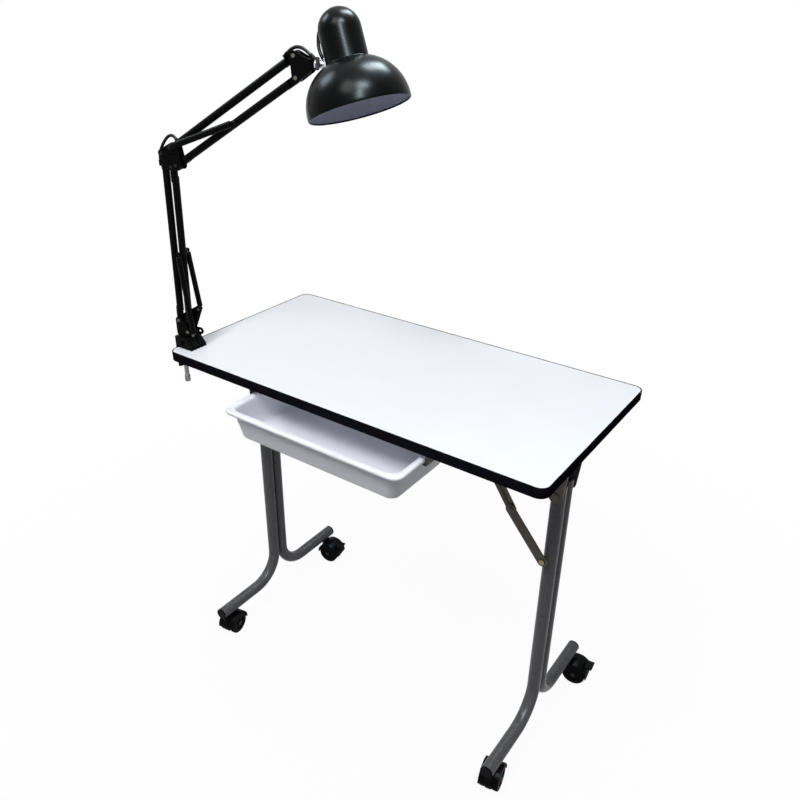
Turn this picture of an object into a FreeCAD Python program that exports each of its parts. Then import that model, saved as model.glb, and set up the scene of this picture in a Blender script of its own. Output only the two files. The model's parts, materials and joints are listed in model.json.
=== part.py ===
import FreeCAD, Part
import math
import os
import re

# Folding manicure table with a clamped work lamp.
# Millimetres and degrees. X runs along the tabletop to the right, Y to the back, Z up.
# The origin lies on the floor under the middle of the tabletop.

SIZES = (
    # tabletop
    ("top_length", 800.0),
    ("top_width", 400.0),
    ("top_height", 723.0),
    ("board_thick", 18.0),
    ("band_thick", 2.0),
    ("corner_radius", 18.0),
    # leg frames
    ("leg_inset", 52.0),
    ("leg_offset", "=top_length / 2 - leg_inset"),
    ("tube_radius", 12.7),
    ("tube_wall", 1.5),
    ("tube_gap", 0.4),
    ("weld_width", 8.0),
    ("weld_length", 20.0),
    ("weld_first", 200.0),
    ("weld_step", 120.0),
    ("foot_height", 72.0),
    ("bend_radius", 68.0),
    ("foot_reach", 191.5),
    ("tube_above_hinge", 16.0),
    ("hinge_drop_right", 109.0),
    ("hinge_drop_left", 137.0),
    ("hinge_pin_radius", 4.0),
    ("cap_flange", 3.0),
    ("cap_plug", 9.0),
    ("cap_clear", 0.05),
    ("cut_over", 1.0),
    ("run_clear", 0.05),
    # leg brackets
    ("plate_thick", 2.5),
    ("cheek_clear", 1.2),
    ("cheek_top", 66.0),
    ("cheek_shift", 9.0),
    ("cheek_round", 13.0),
    ("bracket_screw_x", 20.0),
    ("bracket_screw_y", 16.0),
    ("pin_head", 1.8),
    ("pin_head_edge", 3.0),
    # braces
    ("brace_clear", 1.5),
    ("strut_thick", 2.5),
    ("strut_gap", 0.7),
    ("strut_width", 19.0),
    ("brace_pin_over", 3.1),
    ("brace_pin_inset", 6.0),
    ("brace_pin_height", 458.0),
    ("brace_knee_in", 76.0),
    ("brace_knee_x", "=leg_offset - brace_knee_in"),
    ("brace_knee_height", 542.0),
    ("brace_mount_in", 176.0),
    ("brace_mount_x", "=leg_offset - brace_mount_in"),
    ("brace_mount_drop", 13.0),
    ("brace_mount_clear", 0.8),
    ("brace_mount_width", 22.0),
    ("brace_mount_foot", 26.0),
    ("mount_screw_x", 6.2),
    ("mount_screw_y", 15.6),
    ("rivet_radius", 3.0),
    ("rivet_head_radius", 5.2),
    ("rivet_head", 1.8),
    ("rivet_clear", 0.3),
    ("bush_radius", 6.0),
    # wood screws
    ("screw_radius", 2.0),
    ("screw_length", 10.0),
    ("screw_head_radius", 4.0),
    ("screw_head", 2.2),
    ("screw_clear", 0.05),
    # tray and its rails
    ("tray_width", 380.0),
    ("tray_depth", 186.0),
    ("tray_height", 59.0),
    ("tray_pull", 66.0),
    ("tray_drop", 12.0),
    ("tray_wall", 2.5),
    ("tray_draft", 12.0),
    ("tray_corner", 30.0),
    ("tray_floor_corner", 24.0),
    ("rim_width", 8.0),
    ("rim_height", 9.0),
    ("rim_round", 3.0),
    ("rail_thick", 2.0),
    ("rail_clear", 1.0),
    ("rail_lift", 0.5),
    ("rail_lip", 7.5),
    ("rail_flange", 18.0),
    ("rail_inset", 8.0),
    ("rail_length", 146.0),
    ("rail_screw_x", 10.0),
    ("rail_screw_end", 22.0),
    # casters
    ("stem_reach", 176.0),
    ("stem_radius", 5.0),
    ("stem_top", 78.0),
    ("trail", 18.0),
    ("wheel_radius", 25.0),
    ("wheel_width", 12.0),
    ("wheel_gap", 1.0),
    ("tread_round", 3.0),
    ("hub_radius", 15.0),
    ("hub_depth", 2.0),
    ("hub_rim", 2.0),
    ("axle_radius", 3.0),
    ("axle_cap_radius", 5.0),
    ("axle_cap", 1.0),
    ("web_width", 12.0),
    ("web_low", 11.0),
    ("hood_clear", 1.2),
    ("hood_thick", 2.5),
    ("hood_side", 1.0),
    ("hood_low", 1.0),
    ("boss_radius", 9.0),
    ("boss_gap", 2.0),
    ("stem_seat", 12.0),
    ("front_turn_angle", 100.0),
    ("back_turn_angle", 6.0),
    ("brake_angle", 48.0),
    ("brake_reach", 33.0),
    ("brake_pin_radius", 1.5),
    ("brake_barrel", 3.2),
    ("brake_length", 14.0),
    ("brake_width", 24.0),
    ("brake_thick", 3.0),
    ("brake_lug_width", 8.0),
    ("brake_clear", 0.4),
    # lamp clamp
    ("lamp_from_end", 12.0),
    ("lamp_y", -157.0),
    ("clamp_width", 38.0),
    ("clamp_wall", 4.5),
    ("clamp_clear", 0.3),
    ("jaw_reach", 39.0),
    ("jaw_front", 6.0),
    ("socket_reach", 24.0),
    ("socket_height", 22.0),
    ("jaw_drop", 8.0),
    ("jaw_thick", 16.5),
    ("lower_jaw_reach", 20.0),
    ("lower_jaw_tip", 6.7),
    ("lower_jaw_width", 19.0),
    ("rib_width", 2.4),
    ("ramp_top", 1.0),
    ("rib_depth", 1.6),
    ("rib_step", 8.0),
    ("screw_rod_radius", 4.3),
    ("screw_rod_low", 33.5),
    ("screw_grip_radius", 5.6),
    ("screw_grip", 14.0),
    ("pad_radius", 5.6),
    ("pad_thick", 3.5),
    ("rod_from_end", 6.0),
    ("rod_shift", 9.5),
    ("set_screw_radius", 2.0),
    ("set_head_radius", 4.0),
    ("set_head", 4.0),
    # lamp arm
    ("lamp_yaw_angle", 15.3),
    ("post_radius", 6.0),
    ("post_length", 18.0),
    ("base_gap", 0.4),
    ("base_disc", 2.6),
    ("base_disc_radius", 12.0),
    ("pivot_back", 11.0),
    ("pivot_rise", 54.0),
    ("lower_length", 312.0),
    ("upper_length", 283.0),
    ("lower_angle", 88.5),
    ("upper_angle", 32.5),
    ("lower_link", 28.0),
    ("lower_link_angle", 52.0),
    ("upper_link", 32.1),
    ("upper_link_angle", 86.1),
    ("upper_pivot_out", 24.7),
    ("upper_pivot_rise", 13.3),
    ("bar_radius", 6.5),
    ("bar_wall", 1.0),
    ("tongue_thick", 4.0),
    ("tongue_gap", 0.2),
    ("tongue_length", 18.0),
    ("pivot_radius", 2.5),
    ("pivot_head_radius", 3.2),
    ("pivot_head", 1.6),
    ("lamp_plate", 2.0),
    ("lamp_plate_half", 7.0),
    ("lamp_plate_round", 7.0),
    ("ear_out", 24.5),
    ("ear_rise", 21.4),
    ("ear_round", 7.0),
    # balance springs
    ("spring_side", 15.0),
    ("spring_radius", 5.0),
    ("upper_spring_radius", 5.6),
    ("spring_wire", 0.9),
    ("spring_eye", 3.5),
    ("spring_hook", 6.5),
    ("spring_pin_end", 19.0),
    ("lower_clip", 157.0),
    ("upper_clip", 146.0),
    ("near_anchor_out", 23.5),
    ("near_anchor_drop", 23.0),
    ("elbow_corner_out", 31.0),
    ("elbow_corner_drop", 20.0),
    # head knuckle
    ("knuckle_reach", 41.1),
    ("knuckle_drop", 11.7),
    ("nose_back", 20.0),
    ("nose_front", 8.0),
    ("nose_height", 16.0),
    ("head_corner_in", 1.5),
    ("head_corner_drop", 6.5),
    ("stud_radius", 4.0),
    ("stud_collar", 6.0),
    ("stud_collar_thick", 2.4),
    ("yoke_disc_radius", 7.0),
    ("yoke_disc", 2.1),
    ("yoke_inside", 3.2),
    ("yoke_ear", 2.5),
    ("yoke_round", 5.5),
    ("tilt_pin_radius", 2.5),
    ("wing_span", 9.5),
    ("wing_thick", 2.4),
    ("wing_hub", 4.2),
    # shade
    ("dome_radius", 81.7),
    ("dome_rise", 4.3),
    ("dome_bend", 72.4),
    ("shade_wall", 1.0),
    ("shade_lip", 78.9),
    ("neck_radius", 33.4),
    ("neck_straight", 117.2),
    ("boss_low", 140.0),
    ("boss_inside_radius", 9.0),
    ("shade_tilt_angle", 19.6),
    ("shade_roll_angle", -9.95),
    ("knuckle_out", 44.5),
    ("knuckle_up", 81.9),
    ("tab_thick", 5.8),
    ("tab_height", 10.0),
    ("holder_radius", 19.0),
    ("holder_low", 92.0),
    ("holder_high", 130.0),
    ("holder_stud", 6.0),
    ("bulb_radius", 27.0),
    ("bulb_middle", 58.0),
    ("bulb_neck", 13.0),
    ("bulb_wall", 1.5),
    # lamp cord
    ("cord_radius", 2.8),
    ("gland_radius", 3.4),
    ("gland_length", 9.0),
    ("elbow_cord_start_out", -9.9),
    ("elbow_cord_start_rise", -14.0),
    ("elbow_cord_turn_out", -10.2),
    ("elbow_cord_turn_rise", 3.0),
    ("elbow_cord_peak_out", 18.5),
    ("elbow_cord_peak_rise", 37.0),
    ("elbow_cord_end_out", 27.5),
    ("elbow_cord_end_rise", 24.0),
    ("elbow_cord_bend", 9.0),
    ("head_cord_start_out", -14.0),
    ("head_cord_start_rise", 2.6),
    ("head_cord_rise_out", -5.5),
    ("head_cord_fall_out", 14.0),
    ("head_cord_peak_rise", 11.5),
    ("head_cord_end_out", 25.5),
    ("head_cord_end_rise", 1.0),
    ("head_cord_bend", 12.0),
    ("riser_loop", 22.0),
    ("riser_low_out", 38.5),
    ("riser_low_up", 90.0),
    ("riser_corner_out", 42.5),
    ("riser_corner_up", 104.5),
    ("riser_top_out", 37.0),
    ("riser_top_up", 117.5),
)

doc = FreeCAD.newDocument("manicure_table")
sheet = doc.addObject("Spreadsheet::Sheet", "sizes")
for row, (name, value) in enumerate(SIZES, 1):
    sheet.set("A%d" % row, name)
    sheet.set("B%d" % row, str(value))
    sheet.setAlias("B%d" % row, name)
doc.recompute()

V = FreeCAD.Vector
X_AXIS = V(1, 0, 0)
Y_AXIS = V(0, 1, 0)
Z_AXIS = V(0, 0, 1)
FLAT = FreeCAD.Rotation()
NODES = []


def size(name):
    return float(sheet.get(name))


def bind(text):
    return re.sub(r"[a-z][a-z_]*", lambda word: "sizes." + word.group(0), str(text))


def put(item, place, turn=FLAT):
    # a place is three expressions in the words of the size sheet
    item.Placement = FreeCAD.Placement(V(0, 0, 0), turn)
    for letter, text in zip("xyz", place):
        item.setExpression(".Placement.Base." + letter, bind(text))


def make(kind, name, place, turn=FLAT, **sizes):
    item = doc.addObject("Part::" + kind, name)
    for prop, text in sizes.items():
        item.setExpression(prop, bind(text))
    put(item, place, turn)
    return item


def box(name, place, length, width, height):
    return make("Box", name, place, Length=length, Width=width, Height=height)


TURNS = {
    "x": FreeCAD.Rotation(Y_AXIS, 90),
    "y": FreeCAD.Rotation(X_AXIS, -90),
    "z": FLAT,
}


def rod(name, axis, place, radius, height):
    # a cylinder that starts at place and runs along the positive axis
    return make("Cylinder", name, place, TURNS[axis], Radius=radius, Height=height)


def slanted_rod(name, start, end, radius):
    # a cylinder between two points worked out in code
    run = end - start
    item = doc.addObject("Part::Cylinder", name)
    item.setExpression("Radius", bind(radius))
    item.Height = run.Length
    item.Placement = FreeCAD.Placement(start, FreeCAD.Rotation(Z_AXIS, run))
    return item


def join(name, items):
    if len(items) == 1:
        return items[0]
    item = doc.addObject("Part::MultiFuse", name)
    item.Shapes = items
    item.Refine = True
    return item


def less(name, base, tools):
    tool = tools[0] if len(tools) == 1 else join(name + "_tools", tools)
    item = doc.addObject("Part::Cut", name)
    item.Base = base
    item.Tool = tool
    item.Refine = True
    return item


def group(name, items):
    # separate solids that share one node
    item = doc.addObject("Part::Compound", name)
    item.Links = items
    return item


def rounded(name, base, radius, pick):
    # rounds the edges that pick chooses
    doc.recompute()
    item = doc.addObject("Part::Fillet", name)
    item.Base = base
    chosen = [i for i, edge in enumerate(base.Shape.Edges, 1) if pick(edge)]
    item.Edges = [(i, radius, radius) for i in chosen]
    return item


def round_edge(edge):
    return edge.Closed and len(edge.Vertexes) == 1


def upright(edge):
    a, b = edge.Vertexes[0].Point, edge.Vertexes[-1].Point
    return abs(a.z - b.z) > 1.0


def node(item, label, place=None):
    item.Label = label
    if place is not None:
        item.Placement = place
    NODES.append(item)
    return item


def pill(name, a, b, radius, low, high):
    # a flat plate with round ends in the XZ plane, from y = low to y = high
    run = b - a
    turn = FreeCAD.Rotation(Y_AXIS, -math.degrees(math.atan2(run.z, run.x)))
    plate = doc.addObject("Part::Box", name + "_web")
    plate.Length = run.Length
    plate.Width = high - low
    plate.Height = 2 * radius
    plate.Placement = FreeCAD.Placement(V(a.x, low, a.z), turn).multiply(
        FreeCAD.Placement(V(0, 0, -radius), FLAT))
    ends = []
    for number, point in enumerate((a, b)):
        end = doc.addObject("Part::Cylinder", "%s_end%d" % (name, number))
        end.Radius = radius
        end.Height = high - low
        end.Placement = FreeCAD.Placement(V(point.x, low, point.z), TURNS["y"])
        ends.append(end)
    return join(name, [plate] + ends)


def cross_pin(name, point, radius, low, high):
    # a cylinder along Y through a point of the XZ plane
    item = doc.addObject("Part::Cylinder", name)
    item.Radius = radius
    item.Height = high - low
    item.Placement = FreeCAD.Placement(V(point.x, low, point.z), TURNS["y"])
    return item


# Tabletop
def slab(name, inset):
    length = "top_length - 2 * %s" % inset
    width = "top_width - 2 * %s" % inset
    place = ("-(%s) / 2" % length, "-(%s) / 2" % width, "top_height - board_thick")
    item = box(name + "_block", place, length, width, "board_thick")
    inset_size = 0.0 if inset == "0" else size(inset)
    return rounded(name, item, size("corner_radius") - inset_size, upright)


under = size("top_height") - size("board_thick")
screw_spots = []

# Leg brackets. The right one is drawn, the left one is the same turned half round.
cheek_in = 2 * size("tube_radius") + size("tube_gap") / 2 + size("cheek_clear")
cheek_out = cheek_in + size("plate_thick")
half_turn = FreeCAD.Placement(V(0, 0, 0), FreeCAD.Rotation(Z_AXIS, 180))
SIDES = (("right", None), ("left", half_turn))
# how far a cutting body passes the surface
over = size("cut_over")
CHEEK_IN = "(2 * tube_radius + tube_gap / 2 + cheek_clear)"
UNDER = "(top_height - board_thick)"


def leg_bracket(side, place):
    tag = "bracket_%s_" % side
    drop = "hinge_drop_" + side
    half = "(cheek_top / 2)"
    middle = "(leg_offset - cheek_shift)"
    web = box(tag + "web", (middle + " - " + half, "-(%s + plate_thick)" % CHEEK_IN,
                            UNDER + " - plate_thick"),
              "cheek_top", "2 * (%s + plate_thick)" % CHEEK_IN, "plate_thick")
    parts = [web]
    for end, low in (("front", "-(%s + plate_thick)" % CHEEK_IN), ("back", CHEEK_IN)):
        wedge = make("Wedge", tag + end, ("leg_offset", low, UNDER), FreeCAD.Rotation(X_AXIS, -90),
                     Xmin="-cheek_shift - cheek_top / 2", Xmax="-cheek_shift + cheek_top / 2",
                     Ymin="0", Ymax=drop, Zmin="0", Zmax="plate_thick",
                     X2min="-cheek_round", X2max="cheek_round", Z2min="0", Z2max="plate_thick")
        tip = rod(tag + end + "_tip", "y", ("leg_offset", low, UNDER + " - " + drop), "cheek_round",
                  "plate_thick")
        parts += [wedge, tip]
    holes = [rod(tag + "pin_hole", "y", ("leg_offset", "-(%s + 2 * plate_thick)" % CHEEK_IN,
                                         UNDER + " - " + drop),
                 "hinge_pin_radius", "2 * (%s + 2 * plate_thick)" % CHEEK_IN)]
    for dx in ("-", "+"):
        for y in ("-bracket_screw_y", "bracket_screw_y"):
            x = "%s %s bracket_screw_x" % (middle, dx)
            holes.append(rod("%shole%d" % (tag, len(holes)), "z", (x, y, UNDER + " - 2 * plate_thick"),
                             "screw_radius + screw_clear", "3 * plate_thick"))
            screw_spots.append((x, y, "plate_thick", side))
    node(less(tag + "plate", join(tag + "blank", parts), holes), "leg_bracket_" + side, place)


for side, place in SIDES:
    leg_bracket(side, place)


def hinge_pin(side, place):
    tag = "hinge_pin_%s_" % side
    z = UNDER + " - hinge_drop_" + side
    out = "(%s + plate_thick)" % CHEEK_IN
    shank = rod(tag + "shank", "y", ("leg_offset", "-" + out, z), "hinge_pin_radius", "2 * " + out)
    heads = []
    for end, y in (("front", "-%s - pin_head" % out), ("back", out)):
        head = rod(tag + end, "y", ("leg_offset", y, z), "hinge_pin_radius + pin_head_edge", "pin_head")
        heads.append(head)
    pin = join(tag + "pin", [shank] + heads)
    if place is not None:
        pin.Placement = place
    return pin


node(group("hinge_pin_pair", [hinge_pin(side, place) for side, place in SIDES]), "hinge_pins")

# Leg frames: two tubes welded side by side, bent outwards into the feet
TUBE_Y = "(tube_radius + tube_gap / 2)"


def leg_core(tag, side, radius, spare):
    # spare lengthens the bore past the tube ends
    parts = []
    top = "(%s - hinge_drop_%s + tube_above_hinge + %s)" % (UNDER, side, spare)
    bend = "(foot_height + bend_radius)"
    for end, sign in (("front", "-1"), ("back", "1")):
        y = "%s * %s" % (sign, TUBE_Y)
        parts.append(rod(tag + end + "_upright", "z", ("leg_offset", y, bend), radius, top + " - " + bend))
        # the bend is a quarter ring in the YZ plane, open towards the foot
        ring = doc.addObject("Part::Torus", tag + end + "_bend")
        ring.setExpression("Radius1", bind("bend_radius"))
        ring.setExpression("Radius2", bind(radius))
        ring.Angle3 = 90
        facing = 1 if sign == "1" else -1
        axis_x = V(0, -facing, 0)
        axis_y = V(0, 0, -1)
        axis_z = axis_x.cross(axis_y)
        put(ring, ("leg_offset", "%s * (%s + bend_radius)" % (sign, TUBE_Y), bend),
            FreeCAD.Rotation(axis_x, axis_y, axis_z, "ZXY"))
        parts.append(ring)
        start = "(%s + bend_radius)" % TUBE_Y
        reach = "(foot_reach + %s - %s)" % (spare, start)
        low = start if sign == "1" else "-%s - %s" % (start, reach)
        parts.append(rod(tag + end + "_foot", "y", ("leg_offset", low, "foot_height"), radius, reach))
    return parts


def leg_frame(side, place):
    tag = "leg_%s_" % side
    tubes = leg_core(tag + "outer_", side, "tube_radius", "0")
    for number in range(3):
        z = "weld_first + %d * weld_step" % number
        tubes.append(box("%sweld%d" % (tag, number), ("leg_offset - weld_width / 2", "-weld_width / 4", z),
                         "weld_width", "weld_width / 2", "weld_length"))
    outside = join(tag + "outside", tubes)
    bores = leg_core(tag + "inner_", side, "tube_radius - tube_wall", "cut_over")
    bores.append(rod(tag + "hinge_hole", "y", ("leg_offset", "-" + CHEEK_IN,
                                               UNDER + " - hinge_drop_" + side),
                     "hinge_pin_radius + run_clear", "2 * " + CHEEK_IN))
    bores.append(rod(tag + "brace_hole", "y", ("leg_offset - brace_pin_inset", "-" + CHEEK_IN,
                                               "brace_pin_height"),
                     "rivet_radius", "tube_radius"))
    for end, y in (("front", "-stem_reach"), ("back", "stem_reach")):
        bores.append(rod(tag + end + "_stem_hole", "z", ("leg_offset", y, "foot_height - 2 * tube_radius"),
                         "stem_radius + run_clear", "2 * tube_radius"))
    node(less(tag + "tubes", outside, bores), "leg_frame_" + side, place)
    caps = []
    for end, sign in (("front", -1), ("back", 1)):
        plug_y = "foot_reach - cap_plug" if sign > 0 else "-foot_reach"
        cap_y = "foot_reach" if sign > 0 else "-foot_reach - cap_flange"
        plug = rod(tag + end + "_plug", "y", ("leg_offset", plug_y, "foot_height"),
                   "tube_radius - tube_wall - cap_clear", "cap_plug")
        flange = rod(tag + end + "_flange", "y", ("leg_offset", cap_y, "foot_height"), "tube_radius",
                     "cap_flange")
        caps.append(join(tag + end + "_cap", [plug, flange]))
    node(group(tag + "caps", caps), "leg_caps_" + side, place)


for side, place in SIDES:
    leg_frame(side, place)

# Folding braces
upper_low = cheek_out + size("brace_clear")
upper_high = upper_low + size("strut_thick")
lower_low = upper_high + size("strut_gap")
lower_high = lower_low + size("strut_thick")
strut_round = size("strut_width") / 2
leg_point = V(size("leg_offset") - size("brace_pin_inset"), 0, size("brace_pin_height"))
knee_point = V(size("brace_knee_x"), 0, size("brace_knee_height"))
mount_point = V(size("brace_mount_x"), 0, under - size("brace_mount_drop"))
rivet = size("rivet_radius")
top_rivets = []


def brace(side, place):
    tag = "brace_%s_" % side
    # upper strut, next to the cheek
    bar = pill(tag + "upper_bar", mount_point, knee_point, strut_round, -upper_high, -upper_low)
    hole = cross_pin(tag + "upper_hole", mount_point, rivet + size("run_clear"), -upper_high - over,
                     -upper_low + over)
    knee_hole = cross_pin(tag + "upper_knee", knee_point, rivet + size("run_clear"), -upper_high - over,
                          -upper_low + over)
    node(less(tag + "upper", bar, [hole, knee_hole]), "brace_upper_" + side, place)
    # lower strut, outside the upper one, with the head of the knee rivet
    bar = pill(tag + "lower_bar", knee_point, leg_point, strut_round, -lower_high, -lower_low)
    hole = cross_pin(tag + "lower_hole", leg_point, rivet + size("run_clear"), -lower_high - over,
                     -lower_low + over)
    drilled = less(tag + "lower_drilled", bar, [hole])
    head = cross_pin(tag + "knee_head", knee_point, size("rivet_head_radius"),
                     -lower_high - size("rivet_head"), -lower_high)
    node(join(tag + "lower", [drilled, head]), "brace_lower_" + side, place)
    # pin in the leg tube, with a bush between tube and strut
    head_low = -lower_high - size("rivet_clear") - size("rivet_head")
    pin_end = -size("tube_radius") - size("brace_pin_over")
    shank = cross_pin(tag + "pin_shank", leg_point, rivet, head_low, pin_end)
    head = cross_pin(tag + "pin_head", leg_point, size("rivet_head_radius"), head_low,
                     head_low + size("rivet_head"))
    bush_high = -2 * size("tube_radius") - size("rivet_clear")
    bush_low = -lower_low + size("rivet_clear")
    bush = cross_pin(tag + "bush", leg_point, size("bush_radius"), bush_low, bush_high)
    node(join(tag + "pin", [shank, head, bush]), "brace_pin_" + side, place)
    # mount under the board: an upright ear and a foot with two screws
    ear_high = -upper_low + size("brace_mount_clear")
    ear_back = ear_high + size("plate_thick")
    half = size("brace_mount_width") / 2
    ear = pill(tag + "mount_round", mount_point, mount_point + V(0, 0, over / 2), half - over,
               ear_high, ear_back)
    drop = size("brace_mount_drop")
    web = doc.addObject("Part::Box", tag + "mount_web")
    web.Length = 2 * half
    web.Width = size("plate_thick")
    web.Height = drop
    web.Placement.Base = V(mount_point.x - half, ear_high, under - drop)
    foot = doc.addObject("Part::Box", tag + "mount_foot")
    foot.Length = 2 * half
    foot.Width = size("brace_mount_foot")
    foot.Height = size("plate_thick")
    foot.Placement.Base = V(mount_point.x - half, ear_high, under - size("plate_thick"))
    keep = doc.addObject("Part::Box", tag + "mount_keep")
    keep.Length = 4 * half
    keep.Width = 4 * size("brace_mount_foot")
    keep.Height = 4 * drop
    keep.Placement.Base = V(mount_point.x - 2 * half, ear_high - half, under - 4 * drop)
    whole = doc.addObject("Part::Common", tag + "mount_whole")
    whole.Base = join(tag + "mount_blank", [ear, web, foot])
    whole.Tool = keep
    holes = [cross_pin(tag + "mount_hole", mount_point, rivet, ear_high - over, ear_back + over)]
    y = "brace_mount_clear - %s - plate_thick - brace_clear + mount_screw_y" % CHEEK_IN
    for dx in ("-", "+"):
        x = "brace_mount_x %s mount_screw_x" % dx
        holes.append(rod("%smount_hole%d" % (tag, len(holes)), "z", (x, y, UNDER + " - 2 * plate_thick"),
                         "screw_radius + screw_clear", "3 * plate_thick"))
        screw_spots.append((x, y, "plate_thick", side))
    node(less(tag + "mount", whole, holes), "brace_mount_" + side, place)
    rivet_low = -upper_high - size("rivet_clear") - size("rivet_head")
    shank = cross_pin(tag + "top_shank", mount_point, rivet, rivet_low, ear_back)
    head = cross_pin(tag + "top_head", mount_point, size("rivet_head_radius"), rivet_low,
                     rivet_low + size("rivet_head"))
    whole = join(tag + "top_rivet", [shank, head])
    if place is not None:
        whole.Placement = place
    top_rivets.append(whole)


for side, place in SIDES:
    brace(side, place)
node(group("top_rivet_pair", top_rivets), "brace_top_rivets")

# Tray: a tapered bin with a rounded rim
TRAY_FRONT = "(-top_width / 2 - tray_pull)"
TRAY_TOP = "(%s - tray_drop)" % UNDER
FLOOR_IN = "(rim_width + tray_draft)"


def bin_form(name, inset, low, high):
    # a wedge that widens upwards, inset from the outside of the bin
    turn = FreeCAD.Rotation(X_AXIS, 90)
    return make("Wedge", name, ("0", TRAY_FRONT + " + tray_depth / 2", TRAY_TOP + " - tray_height"), turn,
                Ymin=low, Ymax=high,
                Xmin="-(tray_width / 2 - %s - %s)" % (FLOOR_IN, inset),
                Xmax="tray_width / 2 - %s - %s" % (FLOOR_IN, inset),
                Zmin="-(tray_depth / 2 - %s - %s)" % (FLOOR_IN, inset),
                Zmax="tray_depth / 2 - %s - %s" % (FLOOR_IN, inset),
                X2min="-(tray_width / 2 - rim_width - %s)" % inset,
                X2max="tray_width / 2 - rim_width - %s" % inset,
                Z2min="-(tray_depth / 2 - rim_width - %s)" % inset,
                Z2max="tray_depth / 2 - rim_width - %s" % inset)


bin_outer = rounded("bin_outer", bin_form("bin_block", "0", "0", "tray_height"), size("tray_floor_corner"),
                    upright)
bin_inner = rounded("bin_inner", bin_form("bin_hollow", "tray_wall", "tray_wall", "tray_height"),
                    size("tray_floor_corner") - size("tray_wall"), upright)
rim_low = TRAY_TOP + " - rim_height"
rim_block = box("rim_block", ("-tray_width / 2", TRAY_FRONT, rim_low), "tray_width", "tray_depth",
                "rim_height")
rim = rounded("rim", rim_block, size("tray_corner"), upright)


def level(edge):
    return not upright(edge)


rim_soft = rounded("rim_soft", rim, size("rim_round"), level)
node(less("tray_shell", join("tray_blank", [bin_outer, rim_soft]), [bin_inner]), "tray_bin")

# Rails that carry the tray by its rim
rails = []
rail_side = "(tray_width / 2 + rail_clear)"
rail_low = "(%s - rim_height - rail_lift - rail_thick)" % TRAY_TOP
rail_y = "(-top_width / 2 + rail_inset)"
for side, sign in (("right", 1), ("left", -1)):
    tag = "rail_%s_" % side
    wall_x = rail_side if sign > 0 else "-%s - rail_thick" % rail_side
    lip_x = "%s - rail_lip" % rail_side if sign > 0 else "-%s" % rail_side
    flange_x = rail_side if sign > 0 else "-%s - rail_flange" % rail_side
    wall = box(tag + "wall", (wall_x, rail_y, rail_low), "rail_thick", "rail_length",
               "%s - %s" % (UNDER, rail_low))
    lip = box(tag + "lip", (lip_x, rail_y, rail_low), "rail_lip", "rail_length", "rail_thick")
    flange = box(tag + "flange", (flange_x, rail_y, UNDER + " - rail_thick"), "rail_flange", "rail_length",
                 "rail_thick")
    holes = []
    for y in (rail_y + " + rail_screw_end", rail_y + " + rail_length - rail_screw_end"):
        x = "%d * (%s + rail_screw_x)" % (sign, rail_side)
        holes.append(rod("%shole%d" % (tag, len(holes)), "z", (x, y, UNDER + " - 2 * rail_thick"),
                         "screw_radius + screw_clear", "3 * rail_thick"))
        screw_spots.append((x, y, "rail_thick", "right"))
    rails.append(less(tag + "rail", join(tag + "blank", [wall, lip, flange]), holes))
node(group("rail_pair", rails), "tray_rails")

# Screws that hold brackets, mounts and rails to the board, and their holes in it
screws = []
screw_holes = []
for number, (x, y, plate, side) in enumerate(screw_spots):
    tag = "screw%d_" % number
    if side == "left":
        x, y = "-(%s)" % x, "-(%s)" % y
    shank = rod(tag + "shank", "z", (x, y, "%s - %s" % (UNDER, plate)), "screw_radius",
                "%s + screw_length" % plate)
    head = rod(tag + "head", "z", (x, y, "%s - %s - screw_head" % (UNDER, plate)), "screw_head_radius",
               "screw_head")
    screws.append(join(tag + "screw", [shank, head]))
    screw_holes.append(rod(tag + "pilot", "z", (x, y, UNDER + " - screw_length"),
                           "screw_radius + screw_clear",
                           "2 * screw_length"))
node(less("board_drilled", slab("board_core", "band_thick"), screw_holes), "top_board")
node(less("band", slab("band_outer", "0"), [slab("band_inner", "band_thick")]), "top_band")
node(group("screw_set", screws), "underside_screws")

# Casters, each drawn with its stem on the Z axis and its wheels trailing towards X
AXLE = ("trail", "0", "wheel_radius")
HOOD_IN = "(wheel_radius + hood_clear)"
HOOD_WIDTH = "(web_width + 2 * wheel_gap + 2 * wheel_width + 2 * hood_side)"


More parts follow.
